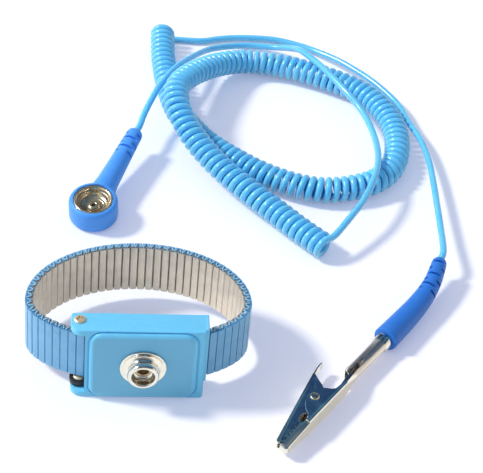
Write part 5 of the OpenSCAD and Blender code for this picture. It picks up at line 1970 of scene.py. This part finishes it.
    def upper_jaw(self) -> Shape:
        """Builds the upper jaw with its thumb tab.

        Returns:
            The jaw, with its tip at x = 0.
        """
        tip, wide = self.jaw_width / 2, 1.45
        outline = [*self.teeth_line(0.42, False), (11.4, 0.9), (12.4, 1.15), (13.7, 1.0), (14.8, 0.2), (17, -0.6),
                   (20, -0.7), (23, -0.6), (25.4, 0.4), (27.6, 3.0), (28.6, 5), (30, 7.2), (30, 8.2), (0.9, 1.65),
                   (0.2, 1.3), (0, 0.6)]
        slope = (8.2 - 1.65) / (30 - 0.9)
        inner = [(0.6, -3.0), (31.0, -3.0), (31.0, 1.15 + slope * 29.9), (1.1, 1.15), (0.6, 0.9)]
        made = self.channel(outline, inner, tip, 0.8, lambda p: p.y > 0.9 + slope * (p.x - 1.1) and p.x > 0.5)
        self.taper(made)
        tab = Shape.plate([(29.7, 8.2), (31.5, 8.75), (33.5, 9.15), (35.5, 9.4), (37.4, 9.5), (37.7, 9.35),
                           (37.4, 9.15), (35.6, 9.02), (33.7, 8.75), (31.8, 8.3), (29.9, 7.7)], 2 * wide)
        tab.soften(0.9, 4, where=level(lambda p: p.x > 37.3))
        shoulder = Shape.wrapped(*((x, y, side * z) for x, y, z in (
            (28.6, 7.35, tip - 2), (28.7, 7.8, tip - 1.4), (32.5, 8.55, wide), (32.4, 8.9, wide))
            for side in (-1, 1)))
        made.join(tab.place(move(0, 0, -wide)), shoulder)
        made.cut(Shape.rod(self.rivet / 2 + 0.05, self.jaw_width + 2, 48).place(move(*self.rivet_at, -tip - 1)))
        return made.soften(0.09, 2, 40.0)

    def pivot(self) -> Shape:
        """Builds the rivet through both jaws.

        Returns:
            The rivet in its place.
        """
        h, r = self.width / 2, self.rivet / 2
        profile = [(0, -h - 0.3), (r - 0.2, -h - 0.45), (r + 0.2, -h - 0.35), (r + 0.4, -h - SNUG), (r, -h - SNUG)]
        profile += [(x, -z) for x, z in reversed(profile)]
        return Shape.lathe(profile, 48, 0.07).place(move(*self.rivet_at))

    def coil_spring(self) -> Shape:
        """Builds the torsion spring: coils round the rivet and a leg to each jaw.

        Returns:
            The spring in its place.
        """
        wire, steps = self.spring_wire / 2, self.spring_steps
        r = self.rivet / 2 + 0.35 + wire
        low, high = (math.radians(a) for a in self.spring_legs)
        sweep = math.tau * self.spring_turns + high - low
        wide = self.jaw_width - 2 * self.sheet - 1.0 - 2 * wire
        body = []
        for i in range(steps + 1):
            a = low + sweep * i / steps
            body.append(Vector((r * math.cos(a), r * math.sin(a), (i / steps - 0.5) * wide)))
        leg = (self.rivet_at[1] - self.spine - self.sheet - wire - 0.3 + r * math.sin(low)) / math.cos(low)
        line = [body[0] - leg * Vector((-math.sin(low), math.cos(low), 0)), *body,
                body[-1] + 5 * Vector((-math.sin(high), math.cos(high), 0))]
        last = len(line) - 1
        rings = [lay(line[min(i + 1, last)] - line[max(i - 1, 0)], point, wire) for i, point in enumerate(line)]
        return Shape.sweep(rings, 12).place(move(*self.rivet_at))


# ---------------------------------------------------------------- assembly


def main() -> None:
    """Builds the scene: camera and cord first, then the strap, the plug and the clip."""
    logging.basicConfig(level=logging.INFO, format="%(message)s")
    studio, finishes = Studio(), Finishes()
    studio.camera()
    plug, clip = SnapPlug(PlugPlace()), AlligatorClip(ClipPlace())
    ground = GroundCord(plug.place, clip.boot_line())
    cord, line = ground.build(finishes)
    finishes.dress_frame()
    ground.declare([*plug.build(finishes), *clip.build(finishes),
                                *(frame["nodes"][name] for name in ("resistor", "banana_pin"))])
    Clasp().build(finishes)
    ExpansionBand().build(finishes)
    studio.floor()
    studio.light()


if __name__ == "__main__":
    main()
